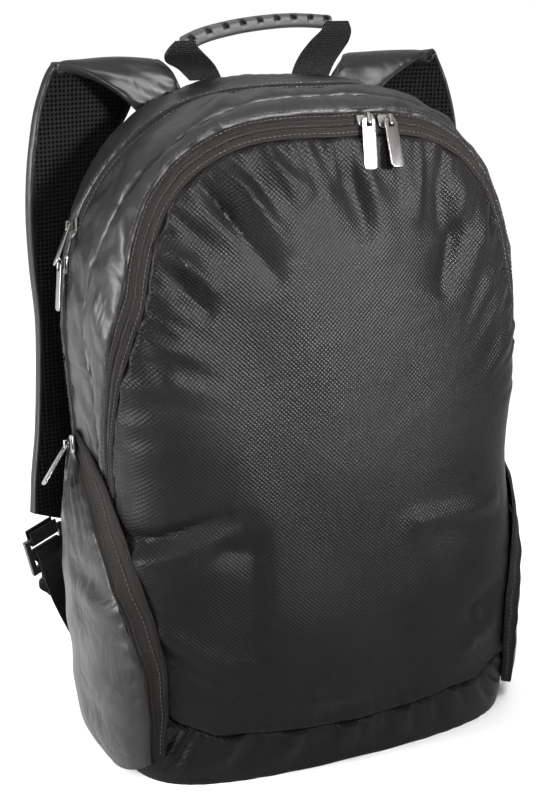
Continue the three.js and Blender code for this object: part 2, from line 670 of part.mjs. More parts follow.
// The moulded grip: an arched bar with slots cut along its top front edge
function handleGrip() {
  const centres = gripTable.map(
    ({ x, rise }) => new THREE.Vector3(x, backSeam + gripBehind, bodyHeight + rise),
  );
  const curve = new THREE.CatmullRomCurve3(centres);
  const across = new THREE.Vector3(0, 1, 0);
  const loops = spread(0, 1, 12).map((t) => {
    const centre = curve.getPoint(t);
    const up = curve.getTangent(t).cross(across).negate();
    const [d, h] = [gripDepth / 2, gripHeight / 2];
    const round = 3;
    const corners = [
      [-d, -h + round], [-d, h - round], [-d + round, h], [d - round, h],
      [d, h - round], [d, -h + round], [d - round, -h], [-d + round, -h],
    ];
    return corners.map(([y, z]) => centre.clone().addScaledVector(across, y).addScaledVector(up, z));
  });
  let grip = toManifold(loft(loops));
  for (let i = 0; i < gripSlots; i++) {
    const share = 0.5 + ((i - (gripSlots - 1) / 2) * gripSlotPitch) / curve.getLength();
    const place = curve.getPointAt(clamp(share, 0, 1));
    const tangent = curve.getTangentAt(clamp(share, 0, 1));
    const slot = box(4, 8, 5, 0, -gripDepth / 2 + 3.2, gripHeight / 2 - 1);
    slot.rotateY(-Math.atan2(tangent.z, tangent.x)).translate(place.x, place.y, place.z);
    grip = grip.subtract(toManifold(slot));
  }
  add("handle_grip", fromManifold(grip), mouldedGrip);
}
function handleWebbing(name) {
  const rows = handleTable[name].map((row) => ({
    ...row,
    y: backSeam + row.behind,
    z: bodyHeight + row.rise,
  }));
  add(`handle_webbing_${name}`, strip(rows, 2), webbing);
}

// A strip bent in side view: the path's points are along and out, its width lies across
function sideStrip(path, thickness, width) {
  const points = path.map(([along, out]) => new THREE.Vector2(along, out));
  const loops = points.map((point, i) => {
    const ahead = points[Math.min(i + 1, points.length - 1)].clone().sub(point).normalize();
    const behind = point.clone().sub(points[Math.max(i - 1, 0)]).normalize();
    const way = ahead.add(behind).normalize();
    const normal = new THREE.Vector2(-way.y, way.x).multiplyScalar(thickness / 2);
    const [a, b] = [point.clone().add(normal), point.clone().sub(normal)];
    const w = width / 2;
    return [
      new THREE.Vector3(-w, a.x, a.y), new THREE.Vector3(w, a.x, a.y),
      new THREE.Vector3(w, b.x, b.y), new THREE.Vector3(-w, b.x, b.y),
    ];
  });
  return loft(loops);
}

// The ladder lock under a strap with the webbing that holds it and the adjusting webbing through it
function strapLock(side, name) {
  const outline = roundedOutline(THREE.Shape, buckleWidth, buckleLength, 5);
  const slotWidth = webbingWidth + 2;
  outline.holes.push(roundedOutline(THREE.Path, slotWidth, 9, 0.8, 0, 7));
  outline.holes.push(roundedOutline(THREE.Path, slotWidth, 7.5, 0.8, 0, -5.25));
  const frame = plate(outline, buckleThickness).translate(0, 0, -buckleThickness / 2);
  const place = (geometry) =>
    geometry
      .rotateX(Math.PI / 2)
      .rotateZ(Math.PI)
      .rotateY(THREE.MathUtils.degToRad(lockPlace.lean) * side)
      .rotateZ(-THREE.MathUtils.degToRad(lockPlace.turn) * side)
      .translate(
        (lockPlace.across * bodyWidth * side) / 2,
        backSeam + lockPlace.behind,
        lockPlace.up * bodyHeight,
      );
  add(`strap_lock_${name}`, place(facingOut(tidy(frame))), blackPlastic);
  add(`lock_holder_${name}`, place(sideStrip(holderPath, webbingThickness, webbingWidth)), webbing);
  add(`adjuster_webbing_${name}`, place(sideStrip(adjusterPath, webbingThickness, webbingWidth)), webbing);
}

// A slider with a bridge on top, about the pull's axis. The zip's teeth run along Y, or along X
// where the pull hangs across the zip.
const axisHeight = 4.6; // the pull's axis above the slider's underside
function sliderSolid(across) {
  const [wide, long] = across ? [sliderLength, sliderWidth] : [sliderWidth, sliderLength];
  const shift = across ? sliderWidth / 2 - 3.7 : 0;
  const body = plate(roundedOutline(THREE.Shape, wide, long, 2.2), 2.2).translate(0, shift, -axisHeight);
  const outside = box(2.4, 7.4, 4.8, 0, 0, -0.5);
  const opening = box(4, 4.2, 2.9, 0, 0, 0);
  return fromManifold(toManifold(body).add(toManifold(outside).subtract(toManifold(opening))));
}
// A pull: a flat tab that hangs along -Y from an eye round the slider's bridge
function pullSolid() {
  const eyeTop = 1;
  const eyeFoot = -5.4;
  const outline = new THREE.Shape();
  const w = pullWidth / 2;
  outline.moveTo(-w, -pullLength + 3);
  outline.absarc(-w + 3, -pullLength + 3, 3, Math.PI, 1.5 * Math.PI);
  outline.absarc(w - 3, -pullLength + 3, 3, 1.5 * Math.PI, 2 * Math.PI);
  outline.lineTo(w, eyeTop - 2);
  outline.absarc(w - 2, eyeTop - 2, 2, 0, Math.PI / 2);
  outline.absarc(-w + 2, eyeTop - 2, 2, Math.PI / 2, Math.PI);
  const eye = roundedOutline(THREE.Path, 4.6, eyeTop - 1.9 - eyeFoot, 0.8, 0, (eyeTop - 1.9 + eyeFoot) / 2);
  outline.holes.push(eye);
  return facingOut(tidy(plate(outline, pullThickness).translate(0, 0, -pullThickness / 2)));
}

// Where a slider sits: the pull's axis point, the way the pull hangs and the way out of the cloth
function sliderFrame(row) {
  const sideTurn = (away) => (row.side > 0 ? 0.5 - away : 0.5 + away);
  let spot, hang, out;
  if (row.zip === "pocket") {
    const at = (run, across, extra) => {
      const { zip, band } = pocketRow(run);
      const height = lerp(zip[2], band[2], across) + extra;
      return overBody(row.side, lerp(zip[0], band[0], across), lerp(zip[1], band[1], across), height);
    };
    spot = at(row.run, 0.4, 0);
    hang = at(row.run + 0.06, 0.3, 0).sub(spot);
    const over = at(row.run, 0.9, 0).sub(at(row.run, 0.05, 0));
    out = hang.clone().cross(over).normalize();
    if (out.x * row.side < 0) out.negate();
  } else {
    const turn = sideTurn(row.aside);
    const length = row.reach * bodyDepth;
    spot = lifted(turn, length, 0);
    out = clothNormal(turn, length);
    hang = row.zip === "front"
      ? clothPoint(turn, length + 3).sub(clothPoint(turn, length - 3))
      : clothPoint(sideTurn(row.aside + 0.004), length).sub(clothPoint(turn, length));
  }
  hang.addScaledVector(out, -hang.dot(out)).normalize();
  hang.applyAxisAngle(out, THREE.MathUtils.degToRad(row.swing));
  spot.addScaledVector(out, coilHeight + layerGap + axisHeight);
  return { spot, hang, out };
}
function zipPull(row) {
  const { spot, hang, out } = sliderFrame(row);
  const back = hang.clone().negate();
  const axis = back.clone().cross(out);
  const base = new THREE.Matrix4().makeBasis(axis, back, out).setPosition(spot);
  add(`slider_${row.name}`, sliderSolid(row.zip === "front").applyMatrix4(base), nickel);
  const lean = new THREE.Matrix4().makeRotationX(-THREE.MathUtils.degToRad(row.lean));
  add(`pull_${row.name}`, pullSolid().applyMatrix4(lean).applyMatrix4(base), nickel);
}

shellPanels();
frontPanel();
backPanel();
sidePocket(-1, "left");
sidePocket(1, "right");
shoulderStrap(-1, "left");
shoulderStrap(1, "right");
handleGrip();
handleWebbing("left");
handleWebbing("right");
strapLock(-1, "left");
strapLock(1, "right");
zipPullTable.forEach(zipPull);

export default group;
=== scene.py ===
import math

import bpy
import numpy as np
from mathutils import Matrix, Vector


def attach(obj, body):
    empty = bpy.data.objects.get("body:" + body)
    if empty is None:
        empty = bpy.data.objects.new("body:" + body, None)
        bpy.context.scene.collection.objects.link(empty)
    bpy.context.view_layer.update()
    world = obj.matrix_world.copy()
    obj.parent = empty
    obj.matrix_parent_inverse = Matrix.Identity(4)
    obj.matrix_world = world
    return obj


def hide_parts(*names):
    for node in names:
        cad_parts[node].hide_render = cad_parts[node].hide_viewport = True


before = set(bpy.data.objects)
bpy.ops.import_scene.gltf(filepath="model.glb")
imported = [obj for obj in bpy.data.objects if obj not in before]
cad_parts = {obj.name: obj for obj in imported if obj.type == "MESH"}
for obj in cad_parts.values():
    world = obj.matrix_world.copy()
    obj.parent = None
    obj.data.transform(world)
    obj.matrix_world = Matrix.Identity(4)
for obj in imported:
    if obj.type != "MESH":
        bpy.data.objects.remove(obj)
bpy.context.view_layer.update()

# Camera, floor and light: a studio table seen from the front left and above, with a soft light on
# the left, a wide one overhead and two narrow ones that pick out the upper part of the front.
MM = 0.001
view_target = Vector((-20, 14, 242)) * MM
view_distance = 1.0
view_turn = math.radians(23.5)
view_rise = math.radians(17.6)
view_back = Vector((
    -math.sin(view_turn) * math.cos(view_rise),
    -math.cos(view_turn) * math.cos(view_rise),
    math.sin(view_rise),
))
camera_data = bpy.data.cameras.new("photo_camera")
camera_data.sensor_fit = "VERTICAL"
camera_data.sensor_height = 36
camera_data.lens = 61.65
camera = bpy.data.objects.new("photo_camera", camera_data)
camera.location = view_target + view_back * view_distance
camera.rotation_euler = view_back.to_track_quat("Z", "Y").to_euler()
bpy.context.collection.objects.link(camera)
bpy.context.scene.camera = camera
bpy.context.scene.view_settings.view_transform = "Standard"


def linear(hex_colour):
    """An sRGB hex colour as a linear RGBA value."""
    parts = [int(hex_colour[i:i + 2], 16) / 255 for i in (1, 3, 5)]
    return [c / 12.92 if c <= 0.04045 else ((c + 0.055) / 1.055) ** 2.4 for c in parts] + [1]


def new_material(name):
    """A new material with its node tree and its Principled shader."""
    material = bpy.data.materials.new(name)
    material.use_nodes = True
    tree = material.node_tree
    return material, tree, tree.nodes["Principled BSDF"]


def node(tree, kind, inputs=None, **settings):
    """Adds a node with its settings, and sets or links each named or numbered input."""
    made = tree.nodes.new(kind)
    for key, value in settings.items():
        setattr(made, key, value)
    for key, value in (inputs or {}).items():
        if isinstance(value, bpy.types.NodeSocket):
            tree.links.new(value, made.inputs[key])
        else:
            made.inputs[key].default_value = value
    return made


def blend_colour(tree, shader, share, dark, light):
    """The shader's colour between two hex colours, by a socket that runs from 0 to 1."""
    colour = node(tree, "ShaderNodeMix", {0: share, 6: linear(dark), 7: linear(light)},
                  data_type="RGBA")
    tree.links.new(colour.outputs[2], shader.inputs["Base Color"])


def add_relief(tree, shader, height, strength, **settings):
    """Bumps the shader's surface by a socket's height."""
    bump = node(tree, "ShaderNodeBump", {"Strength": strength, "Height": height, **settings})
    tree.links.new(bump.outputs[0], shader.inputs["Normal"])


def vary_roughness(tree, shader, share, low, high):
    worn = node(tree, "ShaderNodeMapRange", {"Value": share, "To Min": low, "To Max": high})
    tree.links.new(worn.outputs[0], shader.inputs["Roughness"])


def wave_node(tree, kind, place, pitch):
    """The sine or cosine of a place, with a crest at each pitch."""
    scaled = node(tree, "ShaderNodeMath", {0: place, 1: 2 * math.pi / pitch},
                  operation="MULTIPLY")
    return node(tree, "ShaderNodeMath", {0: scaled.outputs[0]}, operation=kind).outputs[0]


paper, tree, shader = new_material("pale_studio_paper")
shader.inputs["Base Color"].default_value = linear("#fbfbfb")
shader.inputs["Roughness"].default_value = 0.9
grain = node(tree, "ShaderNodeTexNoise", {"Scale": 60.0, "Detail": 3.0})
add_relief(tree, shader, grain.outputs[0], 0.02)
floor_size = 60
bpy.ops.mesh.primitive_plane_add(size=floor_size)
floor = bpy.context.object
floor.name = "floor"
floor.data.materials.append(paper)

world = bpy.data.worlds.new("studio")
world.use_nodes = True
background = world.node_tree.nodes["Background"]
background.inputs["Color"].default_value = linear("#ffffff")
background.inputs["Strength"].default_value = 0.37
bpy.context.scene.world = world


def soft_light(name, place, size, power, aim, spread):
    """An area light aimed at a height on the bag's middle line, its beam spread in degrees."""
    data = bpy.data.lights.new(name, "AREA")
    data.shape = "RECTANGLE"
    data.size, data.size_y = size
    data.energy = power
    data.spread = math.radians(spread)
    light = bpy.data.objects.new(name, data)
    light.location = place
    way = Vector(place) - Vector((0, 0, aim))
    light.rotation_euler = way.to_track_quat("Z", "Y").to_euler()
    bpy.context.collection.objects.link(light)


soft_light("left_light", (-1.5, 0.1, 0.5), (0.4, 0.6), 46, 0.25, 180)
soft_light("key_light", (-0.15, -0.8, 1.05), (0.25, 0.25), 0.7, 0.28, 40)
soft_light("right_light", (0.45, -1.3, 0.75), (0.3, 0.3), 2.2, 0.31, 21)
overhead = bpy.data.objects.new("overhead_light", bpy.data.lights.new("overhead_light", "SUN"))
overhead.data.energy = 2.3
overhead.data.angle = math.radians(100)
overhead.rotation_euler = (math.radians(-12), 0, 0)
bpy.context.collection.objects.link(overhead)

# The shell: nylon panels cut flat and sewn together inside out, then stuffed so that every band
# between two seams swells. All of them lie on one body of known outline, measured round the back
# seam by turn and from it to the front by the length of the cloth.
body_height, body_width, body_depth = 469, 314, 169
back_seam, front_bulge, shoulder_height, centre_height = 72, 24, 290, 215
rest_depth, arch_roundness, foot_roundness, corner_roundness = 46, 2.55, 9, 8
waist_height, waist_span, waist_depth = 208, 45, 6
# share of the height, share of the depth
front_rows = [(0, 1.01), (0.06, 1.01), (0.25, 1), (0.55, 0.94), (0.85, 0.84), (1, 0.76)]
main_zip_width, front_zip_width = 12, 17
arch_foot = 176
cloth_thickness = 1.2
# by distance aside from the top middle: main zip, middle seam, front zip
arch_seams = np.array([
    (0, 0.5, 0.62, 0.725), (0.02, 0.47, 0.61, 0.715), (0.035, 0.41, 0.6, 0.7),
    (0.05, 0.32, 0.595, 0.68), (0.08, 0.28, 0.575, 0.652), (0.1, 0.21, 0.55, 0.652),
    (0.125, 0.14, 0.49, 0.675), (0.145, 0.1, 0.41, 0.69), (0.17, 0.075, 0.355, 0.635),
    (0.195, 0.07, 0.43, 0.57), (0.225, 0.07, 0.41, 0.48), (0.25, 0.07, 0.39, 0.465),
    (0.27, 0.07, 0.42, 0.56),
])
# by distance aside from the top middle: base seam
base_seams = np.array([
    (0.26, 0.613), (0.27, 0.66), (0.3, 0.76), (0.325, 0.83), (0.345, 0.88), (0.364, 0.955),
    (0.386, 1.13), (0.419, 1.22), (0.46, 1.19), (0.5, 1.17),
])

angles = np.linspace(0, 2 * np.pi, 2881)
side, rise = np.sin(angles), -np.cos(angles)
upper = rise > 0
power = 2 / np.where(upper, arch_roundness, foot_roundness)
reach_up = np.where(upper, body_height - shoulder_height, shoulder_height + rest_depth)
rim_x = np.sign(side) * np.abs(side) ** power * body_width / 2
rim_z = shoulder_height + np.sign(rise) * np.abs(rise) ** power * reach_up
waist = waist_depth * np.exp(-(((rim_z - waist_height) / waist_span) ** 2))
rim_x = rim_x * (1 - waist / (body_width / 2))
rim_run = np.concatenate([[0], np.cumsum(np.hypot(np.diff(rim_x), np.diff(rim_z)))])
rim_length = rim_run[-1]


def rim_at(turn):
    """The back seam's x and z by turn: 0 at the bottom middle, 0.25 on the right, 0.5 on top."""
    along = (np.asarray(turn) % 1) * rim_length
    return np.interp(along, rim_run, rim_x), np.interp(along, rim_run, rim_z)


def body_runs(turns):
    """For each turn, points from the back seam to the middle of the front and their lengths."""
    x0, z0 = (v[:, None] for v in rim_at(turns))
    angle = (np.linspace(0, 1, 121) ** 1.6 * np.pi / 2)[None, :]
    share = np.clip(np.cos(angle), 0, 1) ** (2 / corner_roundness)
    share[:, -1] = 0
    x = share * x0
    z = centre_height + share * (z0 - centre_height)
    heights, depths = zip(*front_rows)
    full = np.interp(z / body_height, heights, depths) * body_depth
    out = full - front_bulge * np.abs(2 * x / body_width) ** 2.4
    y = back_seam - out * np.sin(angle) ** (2 / corner_roundness)
    points = np.stack([x, y, np.maximum(z, 0)], -1)
    steps = np.linalg.norm(np.diff(points, axis=1), axis=2)
    lengths = np.concatenate([np.zeros((len(points), 1)), np.cumsum(steps, 1)], 1)
    return points, lengths


def cloth_points(turns, lengths, runs=None):
    """Points of the body at lengths[i, j] along the run of turns[i]."""
    points, along = runs or body_runs(turns)
    made = np.empty(lengths.shape + (3,))
    for i in range(len(turns)):
        for k in range(3):
            made[i, :, k] = np.interp(lengths[i], along[i], points[i, :, k])
    return made


def cloth_surface(turns, lengths, lift):
    """Points lifted off the body by lift[i, j] millimetres, with the normals there."""
    step = 3
    turn_step = step / rim_length
    runs = body_runs(turns)
    total = runs[1][:, -1:]
    base = cloth_points(turns, lengths, runs)
    ahead = cloth_points(turns, np.minimum(lengths + step, total), runs)
    behind = cloth_points(turns, np.maximum(lengths - step, 0), runs)
    along = cloth_points(turns + turn_step, lengths) - cloth_points(turns - turn_step, lengths)
    normal = np.cross(along, ahead - behind)
    normal[lengths > total - step] = (0, -1, 0)
    normal /= np.linalg.norm(normal, axis=2, keepdims=True) + 1e-12
    return base + normal * np.asarray(lift)[..., None], normal


def smooth_step(low, high, value):
    """0 below low, 1 above high and eased between them."""
    t = np.clip((value - low) / (high - low), 0, 1)
    return t * t * (3 - 2 * t)


def waves(seed, count, low, high):
    """A smooth random wave of about unit height, made of sines between two wavelengths."""
    random = np.random.default_rng(seed)
    lengths = random.uniform(low, high, count)
    phases = random.uniform(0, 2 * np.pi, count)
    return lambda at: sum(
        np.sin(2 * np.pi * at / length + phase) for length, phase in zip(lengths, phases)
    ) / math.sqrt(count / 2)


def select_only(piece):
    bpy.ops.object.select_all(action="DESELECT")
    piece.select_set(True)
    bpy.context.view_layer.objects.active = piece


def face_outwards(piece):
    """Turns every face of a closed mesh outwards."""
    select_only(piece)
    bpy.ops.object.mode_set(mode="EDIT")
    bpy.ops.mesh.select_all(action="SELECT")
    bpy.ops.mesh.normals_make_consistent(inside=False)
    bpy.ops.object.mode_set(mode="OBJECT")


def grid_mesh(name, outer, inner, material, uv=None, closed=False, angle=38):
    """A closed cloth solid from two grids of points in millimetres, the outer one first."""
    rows, columns = outer.shape[:2]
    count = rows * columns
    index = np.arange(count).reshape(rows, columns)
    if closed:
        index = np.vstack([index, index[:1]])
    a, b, c, d = index[:-1, :-1], index[1:, :-1], index[1:, 1:], index[:-1, 1:]
    faces = [np.stack([a, b, c, d], -1).reshape(-1, 4)]
    faces.append(np.stack([a, d, c, b], -1).reshape(-1, 4) + count)
    for edge, flip in ((index[:, 0], False), (index[:, -1], True)):
        p, q = edge[:-1], edge[1:]
        rim = [p, p + count, q + count, q]
        faces.append(np.stack(rim[::-1] if flip else rim, -1))
    if not closed:
        for edge, flip in ((index[0], True), (index[-1], False)):
            p, q = edge[:-1], edge[1:]
            rim = [p, p + count, q + count, q]
            faces.append(np.stack(rim[::-1] if flip else rim, -1))
    faces = np.vstack(faces)
    points = np.vstack([outer.reshape(-1, 3), inner.reshape(-1, 3)]) * MM
    volume = np.einsum(
        "ij,ij->i", points[faces[:, 0]], np.cross(points[faces[:, 1]], points[faces[:, 2]])
    ).sum()
    volume += np.einsum(
        "ij,ij->i", points[faces[:, 0]], np.cross(points[faces[:, 2]], points[faces[:, 3]])
    ).sum()
    if volume < 0:
        faces = faces[:, ::-1]
    mesh = bpy.data.meshes.new(name)
    mesh.from_pydata(points.tolist(), [], faces.tolist())
    if uv is not None:
        layer = mesh.uv_layers.new(name="cloth_mm")
        flat = np.vstack([uv.reshape(-1, 2)] * 2)
        layer.data.foreach_set("uv", flat[faces.reshape(-1)].reshape(-1).astype(np.float32))
    piece = bpy.data.objects.new(name, mesh)
    bpy.context.collection.objects.link(piece)
    piece.data.materials.append(material)
    select_only(piece)
    bpy.ops.object.shade_smooth_by_angle(angle=math.radians(angle))
    return piece


def tube_mesh(name, loops, material, angle):
    """A closed bar from loops of points in millimetres, with a flat face at each end."""
    count, ring = loops.shape[:2]
    index = np.arange(count * ring).reshape(count, ring)
    a, b = index[:-1], index[1:]
    quads = np.stack([a, b, np.roll(b, -1, 1), np.roll(a, -1, 1)], -1).reshape(-1, 4)
    mesh = bpy.data.meshes.new(name)
    mesh.from_pydata((loops.reshape(-1, 3) * MM).tolist(), [],
                     quads.tolist() + [index[0].tolist(), index[-1][::-1].tolist()])
    piece = bpy.data.objects.new(name, mesh)
    bpy.context.collection.objects.link(piece)
    piece.data.materials.append(material)
    face_outwards(piece)
    bpy.ops.object.shade_smooth_by_angle(angle=math.radians(angle))
    return piece


def finish_piece(piece, slot, *nodes, body="bag"):
    """Puts a piece on its body, in place of the solids that it stands for; slot is not used."""
    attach(piece, body)
    if nodes:
        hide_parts(*nodes)


def ease(values, kernel_size):
    """Values smoothed by a bell-shaped kernel; each end has to be padded by half its size."""
    kernel = np.exp(-(np.linspace(-2, 2, kernel_size) ** 2))
    return np.convolve(values, kernel / kernel.sum(), "valid")


def seam_at(column):
    """A seam of the arch as a function of turn, in millimetres of cloth, with its kinks eased."""
    asides = np.linspace(0, 0.3, 601)
    values = np.interp(asides, arch_seams[:, 0], arch_seams[:, column])
    eased = ease(np.concatenate([values[20:0:-1], values, np.full(20, values[-1])]), 41)
    return lambda turn: np.interp(np.abs(turn - 0.5), asides, eased) * body_depth


main_zip_at, middle_seam_at, front_zip_at = seam_at(1), seam_at(2), seam_at(3)
low, high = 0.0, 0.5
for _ in range(40):
    middle = (low + high) / 2
    low, high = (low, middle) if rim_at(middle)[1] > arch_foot else (middle, high)
foot_turn = low
arch_turns = np.linspace(foot_turn, 1 - foot_turn, 420)
base_turns = np.linspace(1 - foot_turn, 1 + foot_turn, 300)

# Satin nylon: a fine plain weave with a soft shine, whose threads are 0.3 mm apart; they are
# drawn at 0.7 mm, because the render shows nothing finer.
satin_nylon, tree, shader = new_material("woven_satin_nylon")


def woven(tree, spacing):
    """Height of a plain weave across x and z of the object's own coordinates, from -1 to 1."""
    place = node(tree, "ShaderNodeTexCoord").outputs["Object"]
    parts = node(tree, "ShaderNodeSeparateXYZ", {0: place})
    warp, weft = (wave_node(tree, "SINE", parts.outputs[axis], 2 * spacing) for axis in (0, 2))
    return node(tree, "ShaderNodeMath", {0: warp, 1: weft}, operation="MULTIPLY").outputs[0]


def cloth_shader(tree, shader, dark, light, weave_height, strength, distance, roughness, gloss,
                 rumple=0.65):
    """Colour that varies softly over the cloth, lighter on its thread crests as a painted
    highlight, the threads' relief, and small wrinkles whose strength is rumple. distance is the
    threads' height in millimetres."""
    place = node(tree, "ShaderNodeTexCoord").outputs["Object"]
    patches = node(tree, "ShaderNodeTexNoise", {"Vector": place, "Scale": 14.0, "Detail": 3.0})
    slubs = node(tree, "ShaderNodeTexNoise", {"Vector": place, "Scale": 700.0, "Detail": 2.0})
    mix = node(tree, "ShaderNodeMath", {0: patches.outputs[0], 1: slubs.outputs[0]})
    # the weave's height lightens the thread crests as a painted highlight; the patches and slubs
    # are the cloth's own uneven tone
    threads = node(tree, "ShaderNodeMath", {0: weave_height, 1: 0.28, 2: mix.outputs[0]},
                   operation="MULTIPLY_ADD")
    span = node(tree, "ShaderNodeMapRange",
                {"Value": threads.outputs[0], "From Min": 0.55, "From Max": 1.45})
    blend_colour(tree, shader, span.outputs[0], dark, light)
    relief = node(tree, "ShaderNodeMath", {0: slubs.outputs[0], 1: 0.5, 2: weave_height},
                  operation="MULTIPLY_ADD")
    # small wrinkles from being packed and stuffed, 10 to 30 mm apart
    wrinkles = node(tree, "ShaderNodeTexNoise", {
        "Vector": place, "Scale": 26.0, "Detail": 3.0, "Roughness": 0.55, "Distortion": 0.5,
    })
    rumpled = node(tree, "ShaderNodeBump", {
        "Strength": rumple, "Distance": 5.5 * MM, "Height": wrinkles.outputs[0],
    })
    add_relief(tree, shader, relief.outputs[0], strength, Distance=distance * MM,
               Normal=rumpled.outputs[0])
    vary_roughness(tree, shader, patches.outputs[0], roughness - 0.06, roughness + 0.06)
    shader.inputs["Specular IOR Level"].default_value = gloss


cloth_shader(tree, shader, "#0c0b0b", "#191818", woven(tree, 0.7 * MM), strength=0.3,
             distance=0.08, roughness=0.4, gloss=0.22)


def band(name, start, end, puff, columns, seed):
    """A cloth band between two seams: swollen in the middle, tucked in and puckered at them."""
    turns = arch_turns
    share = 0.5 - 0.5 * np.cos(np.linspace(0, np.pi, columns))
    start_mm, end_mm = start(turns) + 0.15, end(turns) - 0.15
    lengths = start_mm[:, None] + (end_mm - start_mm)[:, None] * share[None, :]
    round_run = (turns * rim_length)[:, None]
    wide = (end_mm - start_mm)[:, None]
    edge = np.minimum(share, 1 - share)[None, :] * wide
    swell = puff * (1 - np.exp(-edge / 5)) * np.minimum(1, wide / 14)
    pucker = waves(seed, 5, 9, 24)(round_run) * np.exp(-edge / 6) * 0.35
    crease = waves(seed + 1, 6, 24, 80)(round_run + edge * 0.8) * (1 - np.exp(-edge / 9))
    lift = swell + pucker + crease - 1.1 * np.exp(-edge / 0.9)
    outer, _ = cloth_surface(turns, lengths, lift)
    inner, _ = cloth_surface(turns, lengths, np.minimum(lift, 0) - cloth_thickness)
    uv = np.stack([np.broadcast_to(round_run, lengths.shape), lengths], -1)
    piece = grid_mesh(f"{name}_cloth", outer, inner, satin_nylon, uv)
    finish_piece(piece, "satin_nylon", name)


# Three arched bands of satin nylon, back to front, sewn to the zips and to each other.
band("rear_band", lambda t: 0 * t, lambda t: main_zip_at(t) - main_zip_width / 2, 1.6, 14, 11)
band("middle_band", lambda t: main_zip_at(t) + main_zip_width / 2, middle_seam_at, 2.4, 40, 21)
band("front_band", middle_seam_at, front_zip_at, 2.2, 30, 31)

# The front panel: one large piece of black ballistic nylon, a coated basket weave, eased on to the
# zip round the arch so that it gathers in deep folds there, and sewn to the base panel below.
ballistic_nylon, tree, shader = new_material("woven_ballistic_nylon")
# Its yarns are 1.5 mm apart, which is what the eye sees as rows of dots.
cloth_shader(tree, shader, "#020202", "#141313", woven(tree, 1.5 * MM), strength=0.6,
             distance=0.25, roughness=0.42, gloss=0.08, rumple=0.22)

# Folds: from (across, up) to (across, up), width and depth in mm, and how sharp the crest is.
# across is a share of half the body's width, up a share of its height; dents are negative.
front_folds = [
    (-0.39, 0.93, -0.14, 0.86, 8, 7.5, 1.3), (-0.5, 0.9, -0.26, 0.785, 8, 5.5, 1.2),
    (-0.6, 0.88, -0.3, 0.742, 9, -9.5, 1.4), (-0.44, 0.925, -0.3, 0.83, 5, -5, 1.3),
    (-0.78, 0.81, -0.58, 0.73, 8, 7, 1.3), (-0.8, 0.78, -0.6, 0.7, 8, -7, 1.3),
    (-0.93, 0.7, -0.74, 0.62, 9, 4, 1.2), (-0.95, 0.66, -0.76, 0.58, 8, -3.5, 1.2),
    (-0.2, 0.945, -0.08, 0.86, 7, -4.5, 1.3), (-0.1, 0.95, -0.02, 0.88, 6, 4, 1.2),
    (0.03, 0.94, 0.1, 0.79, 10, -11, 1.4), (0.13, 0.94, 0.15, 0.84, 6, 1, 1.2),
    (0.19, 0.9, 0.2, 0.76, 9, 1.2, 1.1), (0.27, 0.93, 0.27, 0.84, 6, -5, 1.3),
    (0.39, 0.92, 0.34, 0.81, 6.5, 8, 1.4), (0.47, 0.9, 0.47, 0.79, 10, -9.5, 1.2),
    (0.6, 0.86, 0.52, 0.79, 6, 4, 1.2), (0.54, 0.79, 0.45, 0.7, 9, -7.5, 1.2),
    (0.85, 0.82, 0.68, 0.76, 7, 6, 1.4), (0.87, 0.78, 0.72, 0.72, 6, -4.5, 1.3),
    (-0.97, 0.376, -0.56, 0.43, 7, -9.5, 1.6), (-0.95, 0.35, -0.52, 0.405, 9, 7.5, 1.3),
    (-0.6, 0.37, -0.42, 0.36, 8, -5, 1.2), (-0.48, 0.377, -0.5, 0.2, 15, -6, 1.1),
    (-0.9, 0.22, -0.54, 0.15, 8, -5.5, 1.4), (-0.86, 0.25, -0.6, 0.19, 9, 3.5, 1.2),
    (0.31, 0.375, 0.8, 0.371, 9, 4.5, 1.2), (0.4, 0.35, 0.8, 0.345, 9, -3.5, 1.2),
    (0.66, 0.2, 0.82, 0.232, 8, -5.5, 1.3), (0.62, 0.16, 0.8, 0.17, 8, 3.5, 1.2),
    (-0.2, 0.12, 0.25, 0.1, 9, 2.5, 1.2), (-0.1, 0.095, 0.3, 0.08, 8, -3, 1.2),
]
# Under the tab of the left slider the cloth lies flat: the tab's x, half the width, two heights.
tab_x, tab_span, tab_foot, tab_top = 32, 20, 398, 410


def fold_relief(x, z):
    """How far all the folds push the cloth out, in millimetres."""
    push = np.zeros_like(x)
    for across, up, to_across, to_up, width, depth, sharp in front_folds:
        x0, z0 = across * body_width / 2, up * body_height
        dx, dz = to_across * body_width / 2 - x0, to_up * body_height - z0
        along = np.clip(((x - x0) * dx + (z - z0) * dz) / (dx * dx + dz * dz), 0, 1)
        beside = (x - x0) * dz - (z - z0) * dx
        slope = 1 + 0.4 * np.tanh(beside / 900)
        away = np.hypot(x - x0 - along * dx, z - z0 - along * dz) / (width * slope)
        profile = np.exp(-(away ** (2 / sharp)))
        push += depth * profile * (1 - along) ** 0.5 * smooth_step(0, 0.1, along + 0.1)
    under_tab = np.exp(-(((x - tab_x) / tab_span) ** 4)) * smooth_step(tab_foot, tab_top, z)
    return push + (np.minimum(push, 1) - push) * under_tab


def base_seam_at(turn):
    return np.interp(np.abs((turn % 1) - 0.5), base_seams[:, 0], base_seams[:, 1]) * body_depth


def panel_edge_at(turn):
    """The front panel's edge: the front zip's round the arch, the base seam below it."""
    turn = turn % 1
    arch = front_zip_at(turn) + front_zip_width
    return np.where(np.abs(turn - 0.5) < 0.5 - foot_turn, arch, base_seam_at(turn))


ring_turns = np.linspace(foot_turn, 1 + foot_turn, 561)[:-1]
edge_mm = ease(np.pad(panel_edge_at(ring_turns), 6, "wrap"), 13)


def eased_edge(turn):
    return np.interp((turn - foot_turn) % 1 + foot_turn, ring_turns, edge_mm, period=1)


